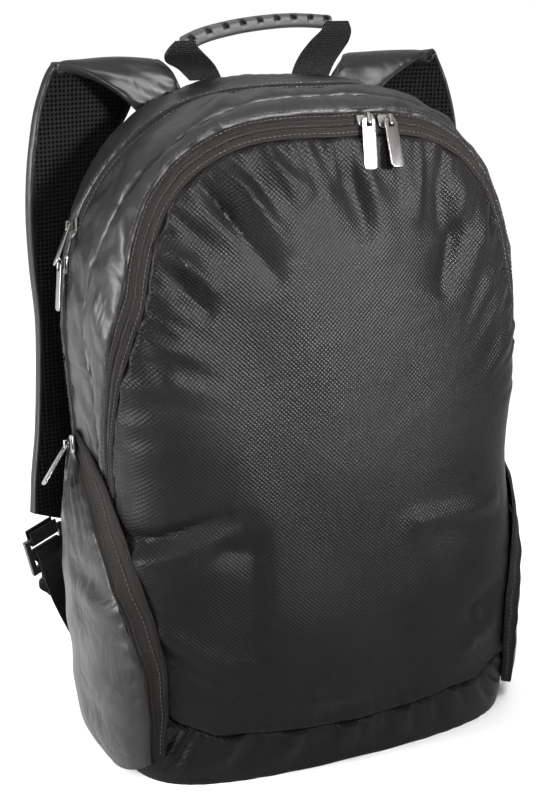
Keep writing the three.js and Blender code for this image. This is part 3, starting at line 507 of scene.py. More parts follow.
# The panel is built in rings from its edge to its middle.
seam_gap = 0.2
rings = np.linspace(0, 1, 74) ** 1.15
ring_run = (ring_turns * rim_length)[:, None]
total_mm = body_runs(ring_turns)[1][:, -1]
in_arch = smooth_step(0.02, 0.06, 0.5 - foot_turn - np.abs(ring_turns - 0.5))[:, None]
wavy = waves(3, 6, 18, 60)(ring_run) * 0.7 * in_arch
start_mm = (edge_mm + seam_gap)[:, None] + wavy
lengths = start_mm + (total_mm[:, None] - start_mm) * rings[None, :]
depth_in = lengths - start_mm
flat_points, _ = cloth_surface(ring_turns, lengths, np.zeros_like(lengths))
settle = smooth_step(0, 0.16, rings)[None, :]
lift = settle * fold_relief(flat_points[..., 0], flat_points[..., 2])
gathers = waves(5, 7, 9, 26)(ring_run + 0.25 * depth_in) * np.exp(-depth_in / 16)
lift += gathers * 0.9 * (0.3 + 0.7 * in_arch) * smooth_step(0, 4, depth_in)
pulls_in = waves(6, 8, 22, 60)(ring_run + 0.5 * depth_in) * np.exp(-(((depth_in - 26) / 24) ** 2))
lift += pulls_in * 1.1 * in_arch
slack = waves(8, 8, 60, 150)(flat_points[..., 0] + flat_points[..., 2] * 0.4)
lift += 0.9 * settle * slack * (1 - rings[None, :] ** 3)
# its edge turns in, most of all along the base seam, with a raised lip beside it
lift -= (1.3 + 1.3 * (1 - in_arch)) * np.exp(-depth_in / 1.4)
lift += 0.7 * np.exp(-(((depth_in - 3) / 2.4) ** 2))
outer, _ = cloth_surface(ring_turns, lengths, lift)
inner, _ = cloth_surface(ring_turns, lengths, lift - cloth_thickness)
piece = grid_mesh("front_panel_cloth", outer, inner, ballistic_nylon, closed=True)
finish_piece(piece, "ballistic_nylon", "front_panel")

# The base panel: ballistic nylon, turned up at the sides under the pockets and sewn to the front
# panel along a low seam, with slack folds at its front corners where it turns under.
corner_x, corner_span = 130, 26
base_run = (base_turns * rim_length)[:, None]
share = np.append(np.linspace(0, 1, 90), [1, 1])
seam = eased_edge(base_turns) - seam_gap
lengths = seam_gap + (seam[:, None] - seam_gap) * share[None, :]
# past the seam it runs on under the front panel's edge
lengths[:, -2:] += (0.5, 3.2)
points, _ = cloth_surface(base_turns, lengths, np.zeros_like(lengths))
edge = np.minimum(share, 1 - share)[None, :] * seam[:, None]
raised = smooth_step(6, 26, points[..., 2])
corner = np.exp(-(((np.abs(points[..., 0]) - corner_x) / corner_span) ** 2))
corner = corner * smooth_step(-40, -85, points[..., 1])
lift = raised * (waves(41, 5, 24, 70)(base_run) * 0.8 - 1.2 * np.exp(-edge))
lift += corner * waves(42, 5, 9, 22)(base_run + 0.3 * lengths) * 0.9 * raised
lift += 0.6 * waves(43, 4, 14, 40)(base_run) * np.exp(-edge / 14) * raised
lift[:, -3:] = (-2.2, -3.2, -4.2)
outer, _ = cloth_surface(base_turns, lengths, lift)
outer[..., 2] = np.maximum(outer[..., 2], 0.05)
inner, _ = cloth_surface(base_turns, lengths, lift - cloth_thickness)
inner[..., 2] = np.maximum(inner[..., 2], 1.3)
piece = grid_mesh("base_panel_cloth", outer, inner, ballistic_nylon)
finish_piece(piece, "ballistic_nylon", "base_panel")

# The zips: woven polyester tapes folded back on themselves, so that the nylon coil lies inside and
# only two folded edges meet outside over it. The front zip's tapes are the wider ones.
zip_tape, tree, shader = new_material("woven_polyester_zip_tape")
place = node(tree, "ShaderNodeUVMap", uv_map="cloth_mm").outputs["UV"]
parts = node(tree, "ShaderNodeSeparateXYZ", {0: place})
# The tape is woven with ribs 1.1 mm apart that run along it, and picks 1.6 mm apart across them.
ribs = wave_node(tree, "SINE", parts.outputs[1], 1.1)
picks = wave_node(tree, "SINE", parts.outputs[0], 1.6)
height = node(tree, "ShaderNodeMath", {0: picks, 1: 0.4, 2: ribs}, operation="MULTIPLY_ADD")
cloth_shader(tree, shader, "#0a0908", "#191615", height.outputs[0], strength=0.5,
             distance=0.25, roughness=0.7, gloss=0.1)
nylon_coil, tree, shader = new_material("moulded_nylon_coil")
shader.inputs["Base Color"].default_value = linear("#1b1a1b")
shader.inputs["Roughness"].default_value = 0.38
grain = node(tree, "ShaderNodeTexNoise", {"Scale": 900.0})
add_relief(tree, shader, grain.outputs[0], 0.15, Distance=0.1 * MM)
tucked_depth = 3.0


def zip_strip(name, turns, middle, width, groove, seed):
    """The two folded tapes of a zip as one cloth solid: two rounded lips with a groove between,
    and on each side an edge that runs on under the neighbouring cloth."""
    across = np.concatenate([
        np.linspace(-width / 2, -width / 2 + 1.5, 4),
        np.linspace(-width / 2 + 2.5, -groove * 1.6, 7),
        np.linspace(-groove * 1.3, groove * 1.3, 15),
        np.linspace(groove * 1.6, width / 2 - 2.5, 7),
        np.linspace(width / 2 - 1.5, width / 2, 4),
    ])
    across[0] += 0.15
    across[-1] -= 0.15
    across = np.concatenate([[-width / 2 - 2.6, -width / 2 - 0.3], across,
                             [width / 2 + 0.3, width / 2 + 2.6]])
    lengths = middle(turns)[:, None] + across[None, :]
    near = np.abs(across)
    lift = 0.9 * np.exp(-(((near - groove * 1.5) / (groove * 0.8)) ** 2))
    lift = lift - 1.1 * np.exp(-((near / (groove * 0.5)) ** 2))
    lift = lift - 0.9 * np.exp(-np.maximum(width / 2 - near, 0) / 0.9)
    lift = np.where(near > width / 2, -tucked_depth, lift)
    run = (turns * rim_length)[:, None]
    lift = lift[None, :] + 0.18 * waves(seed, 5, 14, 50)(run + across[None, :])
    outer, _ = cloth_surface(turns, lengths, lift)
    inner, _ = cloth_surface(turns, lengths, np.minimum(lift, 0) - cloth_thickness)
    uv = np.stack([np.broadcast_to(run, lengths.shape), np.broadcast_to(across, lengths.shape)], -1)
    finish_piece(grid_mesh(f"{name}_tapes", outer, inner, zip_tape, uv), "zip_tape", name)


def path_frames(turns, middle, lift):
    """Evenly spaced points along a zip or seam with their ways ahead, across and out."""
    lengths = middle(turns)[:, None] + np.array([[-1.5, 0, 1.5]])
    points, normals = cloth_surface(turns, lengths, np.full(lengths.shape, lift))
    out = normals[:, 1]
    ahead = np.gradient(points[:, 1], axis=0)
    ahead /= np.linalg.norm(ahead, axis=1, keepdims=True)
    return points[:, 1], ahead, np.cross(out, ahead), out


def even(points, ahead, across, out, pitch):
    """The same frames at an even pitch along the path."""
    run = np.concatenate([[0], np.cumsum(np.linalg.norm(np.diff(points, axis=0), axis=1))])
    count = int(run[-1] / pitch)
    at = (np.arange(count) + 0.5) * run[-1] / count
    return [np.stack([np.interp(at, run, v[:, k]) for k in range(3)], -1)
            for v in (points, ahead, across, out)]


def many_beads(name, frames, size, material, slot, lean=0.0):
    """One small rounded bead per frame, all in one mesh: the teeth of a zip or a row of stitches.
    size is its half lengths ahead, across and out."""
    ring = [(-1, 0, 0)]
    for along, girth in ((-0.62, 0.8), (0.0, 1.0), (0.62, 0.8)):
        for k in range(6):
            angle = k * math.pi / 3
            ring.append((along, girth * math.cos(angle), girth * math.sin(angle)))
    ring.append((1, 0, 0))
    ring = np.array(ring)
    faces = []
    for k in range(6):
        n = (k + 1) % 6
        faces.append((0, 1 + n, 1 + k))
        for row in (1, 7):
            faces.append((row + k, row + n, row + n + 6))
            faces.append((row + k, row + n + 6, row + k + 6))
        faces.append((13 + k, 13 + n, 19))
    points, ahead, across, out = frames
    turned = ahead * math.cos(lean) + across * math.sin(lean)
    beside = across * math.cos(lean) - ahead * math.sin(lean)
    bead = (points[:, None, :] + ring[None, :, 0:1] * size[0] * turned[:, None, :]
            + ring[None, :, 1:2] * size[1] * beside[:, None, :]
            + ring[None, :, 2:3] * size[2] * out[:, None, :])
    count = len(points)
    faces = (np.array(faces)[None] + (np.arange(count) * len(ring))[:, None, None]).reshape(-1, 3)
    mesh = bpy.data.meshes.new(name)
    mesh.from_pydata((bead.reshape(-1, 3) * MM).tolist(), [], faces.tolist())
    mesh.shade_smooth()
    piece = bpy.data.objects.new(name, mesh)
    bpy.context.collection.objects.link(piece)
    face_outwards(piece)
    piece.data.materials.append(material)
    finish_piece(piece, slot)


def front_zip_middle(turn):
    return front_zip_at(turn) + front_zip_width / 2


zip_strip("main_zip", arch_turns, main_zip_at, main_zip_width, 1.7, 51)
zip_strip("front_zip", arch_turns, front_zip_middle, front_zip_width, 1.9, 61)
tooth_pitch = 1.7
for name, middle in (("main_zip_teeth", main_zip_at), ("front_zip_teeth", front_zip_middle)):
    frames = even(*path_frames(arch_turns, middle, -0.5), tooth_pitch)
    many_beads(name, frames, (0.95, 0.55, 0.6), nylon_coil, "zip_tape", lean=1.0)

# Seams: black bonded polyester thread in straight stitches about 3 mm long, along each seam of
# the shell.
thread, tree, shader = new_material("bonded_polyester_thread")
shader.inputs["Base Color"].default_value = linear("#151415")
shader.inputs["Roughness"].default_value = 0.5
shader.inputs["Sheen Weight"].default_value = 0.2
twist = node(tree, "ShaderNodeTexNoise", {"Scale": 2500.0})
add_relief(tree, shader, twist.outputs[0], 0.3, Distance=0.1 * MM)
stitch_pitch, stitch_size = 3.4, (1.25, 0.32, 0.3)


def stitch_row(name, seam, lift):
    frames = even(*path_frames(arch_turns, seam, lift), stitch_pitch)
    many_beads(f"{name}_stitches", frames, stitch_size, thread, "satin_nylon")


stitch_row("rear_band", lambda t: main_zip_at(t) - main_zip_width / 2 - 2.2, 0.75)
stitch_row("middle_band", lambda t: main_zip_at(t) + main_zip_width / 2 + 2.4, 1.15)
stitch_row("front_band", lambda t: front_zip_at(t) - 2.6, 1.2)
stitch_row("front_zip_back", lambda t: front_zip_at(t) + 2.2, 0.35)
stitch_row("front_zip_front", lambda t: front_zip_at(t) + front_zip_width - 2.6, 0.35)

# The side pockets: a swelling satin panel sewn in beside the back seam, gathered under its zip's
# top end, and a folded band that carries the zip over the bag's front corner.
pocket_rows = np.array([
    # run, zip aside, zip reach, band aside, band reach, swell, zip lift
    (0, 0.234, 0.06, 0.228, 0.14, 4, 4), (0.08, 0.24, 0.11, 0.232, 0.3, 8, 5),
    (0.16, 0.249, 0.2, 0.239, 0.46, 12, 6.5), (0.24, 0.258, 0.34, 0.249, 0.59, 14, 7.5),
    (0.33, 0.266, 0.48, 0.262, 0.71, 15.5, 8), (0.43, 0.277, 0.61, 0.28, 0.8, 16.5, 8),
    (0.56, 0.297, 0.745, 0.305, 0.885, 17, 8), (0.72, 0.328, 0.843, 0.335, 0.95, 16.5, 8),
    (0.88, 0.356, 0.872, 0.36, 0.963, 15, 8), (1, 0.379, 0.856, 0.382, 0.925, 13, 7.5),
])
pocket_back_reach, pocket_top_aside, pocket_foot_aside = 0.035, 0.236, 0.381
pocket_back_lift, pocket_band_lift, pocket_foot_clear, pocket_zip_gap = 2.2, 3.6, 3, 0.4
pocket_length, pocket_band_width, zip_line = 205, 24, 0.2
# The creases across the swell: distance down, share across, span, lean and depth.
pocket_folds = [(96, 0.72, 9, 30, -3), (108, 0.8, 8, 36, 2.6), (150, 0.4, 12, -26, -2.2),
                (176, 0.66, 10, 18, -1.8)]
pocket_runs = np.linspace(0, 1, 150)
dense = np.linspace(0, 1, 401)
eased_rows = []
for column in range(1, 7):
    raw = np.interp(dense, pocket_rows[:, 0], pocket_rows[:, column])
    ends = np.concatenate([2 * raw[0] - raw[20:0:-1], raw, 2 * raw[-1] - raw[-2:-22:-1]])
    eased_rows.append(np.interp(pocket_runs, dense, ease(ends, 41))[:, None])
zip_aside, zip_reach, band_aside, band_reach, swell, zip_lift = eased_rows


def over_body(away, reach):
    """Points and normals of the right side by distance aside and reach to the front."""
    turns = (0.5 - away).reshape(-1)
    lengths = (reach * body_depth).reshape(-1, 1)
    points, normals = cloth_surface(turns, lengths, np.zeros_like(lengths))
    return points.reshape(away.shape + (3,)), normals.reshape(away.shape + (3,))


def on_side(side, points, normals, lift):
    """The lifted points, mirrored to the left where side is -1, and kept off the ground."""
    made = points + normals * lift[..., None]
    made = made * np.array([side, 1, 1])
    made[..., 2] = np.maximum(made[..., 2], pocket_foot_clear)
    return made


share = np.linspace(0, 1, 56)[None, :]
pocket_run = pocket_runs[:, None]
back_aside = pocket_top_aside + (pocket_foot_aside - pocket_top_aside) * pocket_run
panel_base = over_body(back_aside + (zip_aside - back_aside) * share,
                       pocket_back_reach + (zip_reach - pocket_back_reach) * share)
band_share = np.concatenate([np.linspace(0, 0.5, 26), np.linspace(0.53, 1, 16)])[None, :]
gap = pocket_zip_gap / body_depth
band_base = over_body(zip_aside + (band_aside - zip_aside) * band_share,
                      zip_reach + gap + (band_reach - zip_reach - gap) * band_share)

for side, name, seed in ((-1, "left", 71), (1, "right", 91)):
    down = pocket_run * pocket_length
    edge_lift = pocket_back_lift + (zip_lift - pocket_back_lift) * share
    # the panel widens from 16 to 97 mm down to the foot
    edge = np.minimum(share, 1 - share) * (10 + 100 * zip_reach)
    lift = edge_lift + (swell - edge_lift) * np.sin(np.pi * share ** 0.8)
    gathers = waves(seed, 6, 0.12, 0.34)(share + 0.05 * np.sin(6 * pocket_run))
    lift += 1.5 * gathers * np.exp(-down / 42) * np.sin(np.pi * share)
    creases = waves(seed + 1, 7, 34, 90)(down + 34 * share)
    lift += creases * np.sin(np.pi * share) * smooth_step(20, 70, down)
    for at, across, span, lean, depth in pocket_folds:
        line = (down - at - lean * (share - across)) / span
        lift += depth * np.exp(-line ** 2 - ((share - across) / 0.24) ** 2)
    lift += 0.4 * waves(seed + 2, 5, 8, 20)(down) * np.exp(-edge / 5)
    lift -= 1.2 * np.exp(-edge / 1.2)
    lift = np.maximum(lift, pocket_back_lift)
    outer = on_side(side, *panel_base, lift)
    inner = on_side(side, *panel_base, np.maximum(lift - 1.4, 0.7))
    piece = grid_mesh(f"side_pocket_cloth_{name}", outer, inner, satin_nylon)
    finish_piece(piece, "satin_nylon", f"side_pocket_{name}")

    base_lift = zip_lift + (pocket_band_lift - zip_lift) * band_share
    lip = np.exp(-(((np.abs(band_share - zip_line) - 0.1) / 0.05) ** 2))
    groove = -1.5 * np.exp(-(((band_share - zip_line) / 0.035) ** 2))
    hem = 0.8 * np.exp(-(((band_share - 0.9) / 0.09) ** 2)) - 0.5 * np.exp(
        -(((band_share - 0.74) / 0.03) ** 2))
    ends = -0.9 * np.exp(-(1 - band_share) / 0.025) - 0.8 * np.exp(-band_share / 0.02)
    ripple = 0.3 * waves(seed + 3, 5, 14, 40)(down + 10 * band_share)
    lift = base_lift + lip + groove + hem + ends + ripple
    outer = on_side(side, *band_base, lift)
    inner = on_side(side, *band_base, np.maximum(base_lift - 1.8, 1.9))
    across_mm = (band_share - zip_line) * pocket_band_width
    uv = np.stack([np.broadcast_to(down, lift.shape), np.broadcast_to(across_mm, lift.shape)], -1)
    piece = grid_mesh(f"pocket_zip_tapes_{name}", outer, inner, zip_tape, uv)
    finish_piece(piece, "zip_tape", f"pocket_zip_{name}")
    for part, column, rise, size, material, lean, pitch in (
        ("teeth", 10, 0.6, (0.95, 0.5, 0.55), nylon_coil, 1.0, tooth_pitch),
        ("stitches", 31, 0.1, stitch_size, thread, 0.0, stitch_pitch),
    ):
        line = outer[4:-3, column]
        out = band_base[1][4:-3, column] * np.array([side, 1, 1])
        ahead = np.gradient(line, axis=0)
        ahead /= np.linalg.norm(ahead, axis=1, keepdims=True)
        frames = even(line + out * rise, ahead, np.cross(out, ahead), out, pitch)
        many_beads(f"pocket_zip_{part}_{name}", frames, size, material, "zip_tape", lean)

# The back panel: foam under black spacer mesh, moulded into two upright pads with a channel
# between them and quilted across, bound round its edge. The photograph doesn't show it.
spacer_mesh, tree, shader = new_material("knitted_spacer_mesh")
place = node(tree, "ShaderNodeTexCoord").outputs["Object"]
parts = node(tree, "ShaderNodeSeparateXYZ", {0: place})
# The knit leaves rows of diamond holes 3.2 mm apart.
hole_pitch = 3.2 * MM
slanted = []
for sign in (1.0, -1.0):
    slope = node(tree, "ShaderNodeMath", {0: parts.outputs[2], 1: sign, 2: parts.outputs[0]},
                 operation="MULTIPLY_ADD")
    slanted.append(wave_node(tree, "COSINE", slope.outputs[0], 2 * hole_pitch))
product = node(tree, "ShaderNodeMath", {0: slanted[0], 1: slanted[1]}, operation="MULTIPLY")
holes = node(tree, "ShaderNodeMapRange", {"Value": product.outputs[0], "From Min": 0.15,
                                          "From Max": 0.6})
# the holes are painted black as painted shade inside them; the yarn between them is dark grey
blend_colour(tree, shader, holes.outputs[0], "#151515", "#000000")
deep = node(tree, "ShaderNodeMath", {0: holes.outputs[0], 1: -1.0}, operation="MULTIPLY")
add_relief(tree, shader, deep.outputs[0], 1.0, Distance=1.2 * MM)
shader.inputs["Roughness"].default_value = 0.8
shader.inputs["Specular IOR Level"].default_value = 0.03

# It lies inside the back seam by an inset; its pads stand at pad_x on both sides of the middle.
back_inset, back_depth, pad_x, bar_pitch = 2.2, 7, 62, 74
back_turns = np.linspace(0, 1, 361)[:-1]
x_rim, z_rim = rim_at(back_turns)
way = np.stack([np.gradient(x_rim), np.gradient(z_rim)], -1)
way /= np.linalg.norm(way, axis=1, keepdims=True)
x_rim, z_rim = x_rim - way[:, 1] * back_inset, z_rim + way[:, 0] * back_inset
shares = 1 - np.linspace(0, 1, 80) ** 1.2
x = x_rim[:, None] * shares
z = centre_height + (z_rim[:, None] - centre_height) * shares
z = np.maximum(z, back_inset)
inset = (1 - shares)[None, :] * np.hypot(x_rim, z_rim - centre_height)[:, None]
pad = np.exp(-(((np.abs(x) - pad_x) / 40) ** 4))
bars = 0.72 + 0.28 * np.abs(np.sin(np.pi * (z - 30) / bar_pitch)) ** 0.5
relief = 0.4 + 1.7 * (1 - np.exp(-inset / 1.2)) - np.exp(-(((inset - 9) / 1.6) ** 2))
relief += smooth_step(10, 20, inset) * (2.2 * pad * bars)
back = np.stack([x, back_seam + relief, z], -1)
front = np.stack([x, np.full_like(x, back_seam - back_depth), z], -1)
piece = grid_mesh("back_panel_pad", back, front, spacer_mesh, closed=True)
finish_piece(piece, "spacer_mesh", "back_panel")

# The shoulder straps: closed-cell foam between satin nylon outside and spacer mesh on the wearer's
# side, bound along both edges. They rise from the back panel, fold over and hang behind the bag.
strap_rows = np.array([
    # x, y, z, width, turn, splay of the right strap, share by which the row stays level
    (64.4, 79, 428, 30, 0, 0, 1), (73, 79.2, 446, 38, 0, 0, 1), (84.8, 80.6, 462, 50, 0, 0, 1),
    (97, 84.2, 473, 64, 0, 2, 1), (108, 91, 478.5, 73, 2, 4, 1), (111, 99.5, 476, 73, 5, 6, 0.7),
    (117, 105, 465, 73, 10, 8, 0), (126, 107, 447, 73, 16, 9, 0), (134, 107.5, 420, 72, 21, 10, 0),
    (138, 109.5, 388, 71, 22, 9, 0), (137, 115, 345, 69, 19, 6, 0), (134, 119, 295, 66, 16, 3, 0),
    (136, 120, 245, 64, 14, 0, 0), (142, 117, 200, 60, 14, 0, 0), (153, 111, 165, 51, 16, 0, 0),
    (162.5, 105.7, 139.6, 38, 18, 0, 0),
])


def smooth_rows(rows, count):
    """The rows of a table carried on a smooth curve through all of them, evenly spaced."""
    steps = np.linalg.norm(np.diff(rows[:, :3], axis=0), axis=1)
    at = np.concatenate([[0], np.cumsum(steps)])
    slope = np.gradient(rows, at, axis=0)
    want = np.linspace(0, at[-1], count)
    i = np.clip(np.searchsorted(at, want, side="right") - 1, 0, len(at) - 2)
    h = (at[i + 1] - at[i])[:, None]
    t = (want - at[i])[:, None] / h
    h00, h10 = 2 * t ** 3 - 3 * t ** 2 + 1, t ** 3 - 2 * t ** 2 + t
    h01, h11 = -2 * t ** 3 + 3 * t ** 2, t ** 3 - t ** 2
    made = h00 * rows[i] + h10 * h * slope[i] + h01 * rows[i + 1] + h11 * h * slope[i + 1]
    return made, want


def ribbon_frames(rows, side=1):
    """For each row its point, the way across the ribbon and the way up from it. A row lies square
    to the ribbon's run, or level by the share in its last column."""
    points = rows[:, :3] * np.array([side, 1, 1])
    along = np.gradient(points, axis=0)
    along /= np.linalg.norm(along, axis=1, keepdims=True)
    turned = np.radians(rows[:, 4]) * side
    wide = np.stack([np.cos(turned), -np.sin(turned), 0 * turned], -1)
    up = np.cross(along, wide)
    up /= np.linalg.norm(up, axis=1, keepdims=True)
    level = np.clip(rows[:, 6:7], 0, 1)
    wide = level * wide + (1 - level) * np.cross(up, along)
    return points, wide / np.linalg.norm(wide, axis=1, keepdims=True), up


def ribbon(points, wide, up, across, height):
    """Points beside a ribbon's middle line, at distances across and up from it."""
    return (points[:, None] + wide[:, None] * across[..., None]
            + up[:, None] * height[..., None])


for side, name, seed in ((-1, "left", 111), (1, "right", 131)):
    rows, run = smooth_rows(strap_rows, 260)
    if side > 0:
        rows[:, 0] += rows[:, 5]
    points, wide, up = ribbon_frames(rows, side)
    run = run[:, None]
    s = np.sin(np.linspace(-np.pi / 2, np.pi / 2, 44))[None, :]
    half = rows[:, 3:4] / 2
    across = s * (half - 0.4)
    edge = half - np.abs(across)
    swell = 3.4 * (1 - np.exp(-edge / 2.2))
    pucker = waves(seed, 6, 12, 34)(run + 6 * s) * np.exp(-edge / 9) * 0.4
    creases = waves(seed + 1, 6, 28, 80)(run + 20 * s) * 0.35
    out = -(swell + 0.6 * (1 - s ** 2) + pucker + creases * (1 - s ** 4))
    outer = ribbon(points, wide, up, across, out)
    inner = ribbon(points, wide, up, across, np.full_like(out, 3.2) * (1 - np.exp(-edge / 1.5)))
    piece = grid_mesh(f"strap_pad_{name}", outer, inner, satin_nylon)
    finish_piece(piece, "satin_nylon", f"shoulder_strap_{name}")
    across = s * (half - 1.6)
    edge = half - 1.6 - np.abs(across)
    top = 3.7 + 2.9 * (1 - np.exp(-edge / 3)) - 0.7 * np.exp(-(((edge - 8) / 1.4) ** 2))
    outer = ribbon(points, wide, up, across, top)
    inner = ribbon(points, wide, up, across, np.full_like(top, 3.5))
    piece = grid_mesh(f"strap_mesh_pad_{name}", outer, inner, spacer_mesh)
    finish_piece(piece, "spacer_mesh", f"strap_mesh_{name}")
    # binding folded over both edges
    for edge_side, edge_name in ((-1, "inner"), (1, "outer")):
        angle = np.linspace(0, 2 * np.pi, 15)[None, :-1]
        out_from_edge = half - 1.7 + 1.9 * np.sign(np.cos(angle)) * np.abs(np.cos(angle)) ** 0.7
        height = 1.5 + 3.9 * np.sign(np.sin(angle)) * np.abs(np.sin(angle)) ** 0.7
        loops = ribbon(points, wide, up, edge_side * out_from_edge, height)
        piece = tube_mesh(f"strap_binding_{edge_name}_{name}", loops, satin_nylon, 60)
        finish_piece(piece, "satin_nylon")

# The grab handle: a bar of soft grey rubber moulded over webbing, arched for the hand, with nine
# finger slots across its top front edge. Its webbing ends are folded in half inside it.
moulded_grip, tree, shader = new_material("moulded_grey_rubber")
place = node(tree, "ShaderNodeTexCoord").outputs["Object"]
# Moulded rubber has a fine spark-eroded grain of about 0.5 mm and a dull, slightly blotched face.
grain = node(tree, "ShaderNodeTexNoise", {"Vector": place, "Scale": 1600.0, "Detail": 2.0})
blotch = node(tree, "ShaderNodeTexNoise", {"Vector": place, "Scale": 45.0, "Detail": 3.0})
blend_colour(tree, shader, blotch.outputs[0], "#222224", "#2c2c2e")
add_relief(tree, shader, grain.outputs[0], 0.25, Distance=0.3 * MM)
vary_roughness(tree, shader, blotch.outputs[0], 0.48, 0.6)
# Painted shade inside the finger slots: their deepest faces take this near-black material, and a
# fine grain varies it.
slot_shadow, tree, shader = new_material("painted_slot_shade")
slot_shade_grain = node(tree, "ShaderNodeTexNoise", {"Scale": 900.0})
blend_colour(tree, shader, slot_shade_grain.outputs[0], "#050505", "#121212")
shader.inputs["Roughness"].default_value = 0.7
shader.inputs["Specular IOR Level"].default_value = 0.2

handle_y = 76
grip_line = np.array([(-58, handle_y, 491.2), (-47, handle_y, 496), (-25, handle_y, 501.5),
                      (0, handle_y, 505), (27, handle_y, 506.5), (55, handle_y, 505)], float)
grip_depth, grip_height, grip_end_rounding = 17, 10, 2.6
slot_count, slot_pitch, slot_depth = 9, 13, 3.4
slot_face_turn = 128
grip_rows, grip_run = smooth_rows(grip_line, 181)
ahead = np.gradient(grip_rows, axis=0)
ahead /= np.linalg.norm(ahead, axis=1, keepdims=True)
across = np.array([0, 1, 0])
up = np.cross(ahead, across)
up *= np.sign(up[:, 2:3])
corner = np.linspace(0, 2 * np.pi, 57)[:-1]
ring_y = np.sign(np.cos(corner)) * np.abs(np.cos(corner)) ** 0.5 * grip_depth / 2
ring_z = np.sign(np.sin(corner)) * np.abs(np.sin(corner)) ** 0.5 * grip_height / 2
from_end = np.minimum(grip_run, grip_run[-1] - grip_run)
rounded = 1 - (1 - np.clip(from_end / grip_end_rounding, 0, 1)) ** 2
closing = 0.55 + 0.45 * np.sqrt(np.clip(rounded, 0.02, 1))[:, None]
swelling = 1 + 0.05 * np.sin(np.pi * grip_run / grip_run[-1])[:, None]
y = ring_y[None, :] * closing * swelling
z = ring_z[None, :] * closing
slots = np.zeros(len(grip_run))
for i in range(slot_count):
    middle = grip_run[-1] / 2 + (i - (slot_count - 1) / 2) * slot_pitch
    slots = np.maximum(slots, np.clip(2.6 - np.abs(grip_run - middle), 0, 1))
# each slot is cut into the upper front edge
edge_way = np.exp(-(((np.degrees(corner) - slot_face_turn + 180) % 360 - 180) / 44.0) ** 8)
cut = slot_depth * slots[:, None] * edge_way[None, :]
# the way in from that edge
way_y, way_z = 0.72, -0.69
loops = (grip_rows[:, None] + across * (y + cut * way_y)[..., None]
         + up[:, None] * (z + cut * way_z)[..., None])
grip = tube_mesh("handle_grip_moulding", loops, moulded_grip, 50)
grip.data.materials.append(slot_shadow)
# faces deep in the slots take the painted shade material
deep = ((cut[:-1] + cut[1:]) / 2 > 1.3).reshape(-1)
for face, dark in zip(grip.data.polygons, deep):
    face.material_index = int(dark)
finish_piece(grip, "moulded_grip", "handle_grip")

# The webbing ends of the handle: 25 mm ribbed nylon, sewn into the back seam and bent up into
# the grip. Its ribs run along it.
webbing, tree, shader = new_material("ribbed_nylon_webbing")
# The ribs are 1.9 mm apart and the picks across them 1.5 mm.
uv_map = node(tree, "ShaderNodeUVMap", uv_map="cloth_mm")
parts = node(tree, "ShaderNodeSeparateXYZ", {0: uv_map.outputs[0]})
ribs = wave_node(tree, "SINE", parts.outputs[1], 1.9)
picks = wave_node(tree, "SINE", parts.outputs[0], 1.5)
height = node(tree, "ShaderNodeMath", {0: picks, 1: 0.5, 2: ribs}, operation="MULTIPLY_ADD")
# Painted highlight and shade: the rib and pick crests are coloured lighter and the hollows between
# them darker.
fade = node(tree, "ShaderNodeMapRange", {"Value": height.outputs[0], "From Min": -1.4,
                                         "From Max": 1.4})
blend_colour(tree, shader, fade.outputs[0], "#050505", "#151414")
add_relief(tree, shader, height.outputs[0], 0.5, Distance=0.4 * MM)
shader.inputs["Roughness"].default_value = 0.5
shader.inputs["Specular IOR Level"].default_value = 0.12


def webbing_strip(name, points, wide, up, half, thickness):
    """A ribbed strip along a path, with thin rounded edges, and its UV in millimetres."""
    s = np.sin(np.linspace(-np.pi / 2, np.pi / 2, 30))[None, :]
    run = np.concatenate([[0], np.cumsum(np.linalg.norm(np.diff(points, axis=0), axis=1))])
    across = s * half[:, None]
    edge = half[:, None] - np.abs(across)
    top = thickness / 2 * (1 - np.exp(-edge / 0.5)) + 0.05
    uv = np.stack([np.broadcast_to(run[:, None], across.shape), across], -1)
    outer = ribbon(points, wide, up, across, top)
    inner = ribbon(points, wide, up, across, -top)
    return grid_mesh(name, outer, inner, webbing, uv, angle=60)


handle_rows = {
    # x, y, z, width, turn
    "left": [(-42, 74.4, 466.5, 25, 0), (-48, 73.6, 474, 29, 0), (-57, 70.4, 481, 34, 0),
             (-61, 66.8, 487, 27, 0), (-61.5, 65.9, 491, 20, 0), (-60, 66, 494.5, 15, 0)],
    "right": [(39.5, 73.8, 466.8, 31, 0), (43, 73.6, 475, 32, 0), (48.5, 71.6, 485, 33, 0),
              (53.5, 68.6, 493, 31, 0), (57, 66.1, 500, 24, 0), (58, 65.9, 506, 17, 0)],
}
for name, table in handle_rows.items():
    # every row stays level, and the stitching leaves a slight ripple
    rows, _ = smooth_rows(np.array([row + (0, 1) for row in table], float), 90)
    points, wide, up = ribbon_frames(rows)
    points = points + up * (0.25 * np.sin(np.linspace(0, 9, 90)))[:, None]
    piece = webbing_strip(f"handle_webbing_strip_{name}", points, wide, up, rows[:, 3] / 2, 1.6)
    finish_piece(piece, "webbing", f"handle_webbing_{name}")

# The strap adjusters: a ladder lock of black acetal under each padded strap, held by a short loop
# of webbing, with the adjusting webbing from the base corner through it and out as a loose end.
acetal, tree, shader = new_material("moulded_acetal")
# Injection-moulded acetal: waxy black with a faint spark grain.
grain = node(tree, "ShaderNodeTexNoise", {"Scale": 1500.0, "Detail": 2.0})
blend_colour(tree, shader, grain.outputs[0], "#151515", "#242425")
add_relief(tree, shader, grain.outputs[0], 0.12, Distance=0.2 * MM)
vary_roughness(tree, shader, grain.outputs[0], 0.28, 0.42)

lock_place, lock_lean, lock_turn = np.array([168, 101.5, 115]), 14, 20
webbing_half, webbing_thickness = 12.4, 1.5
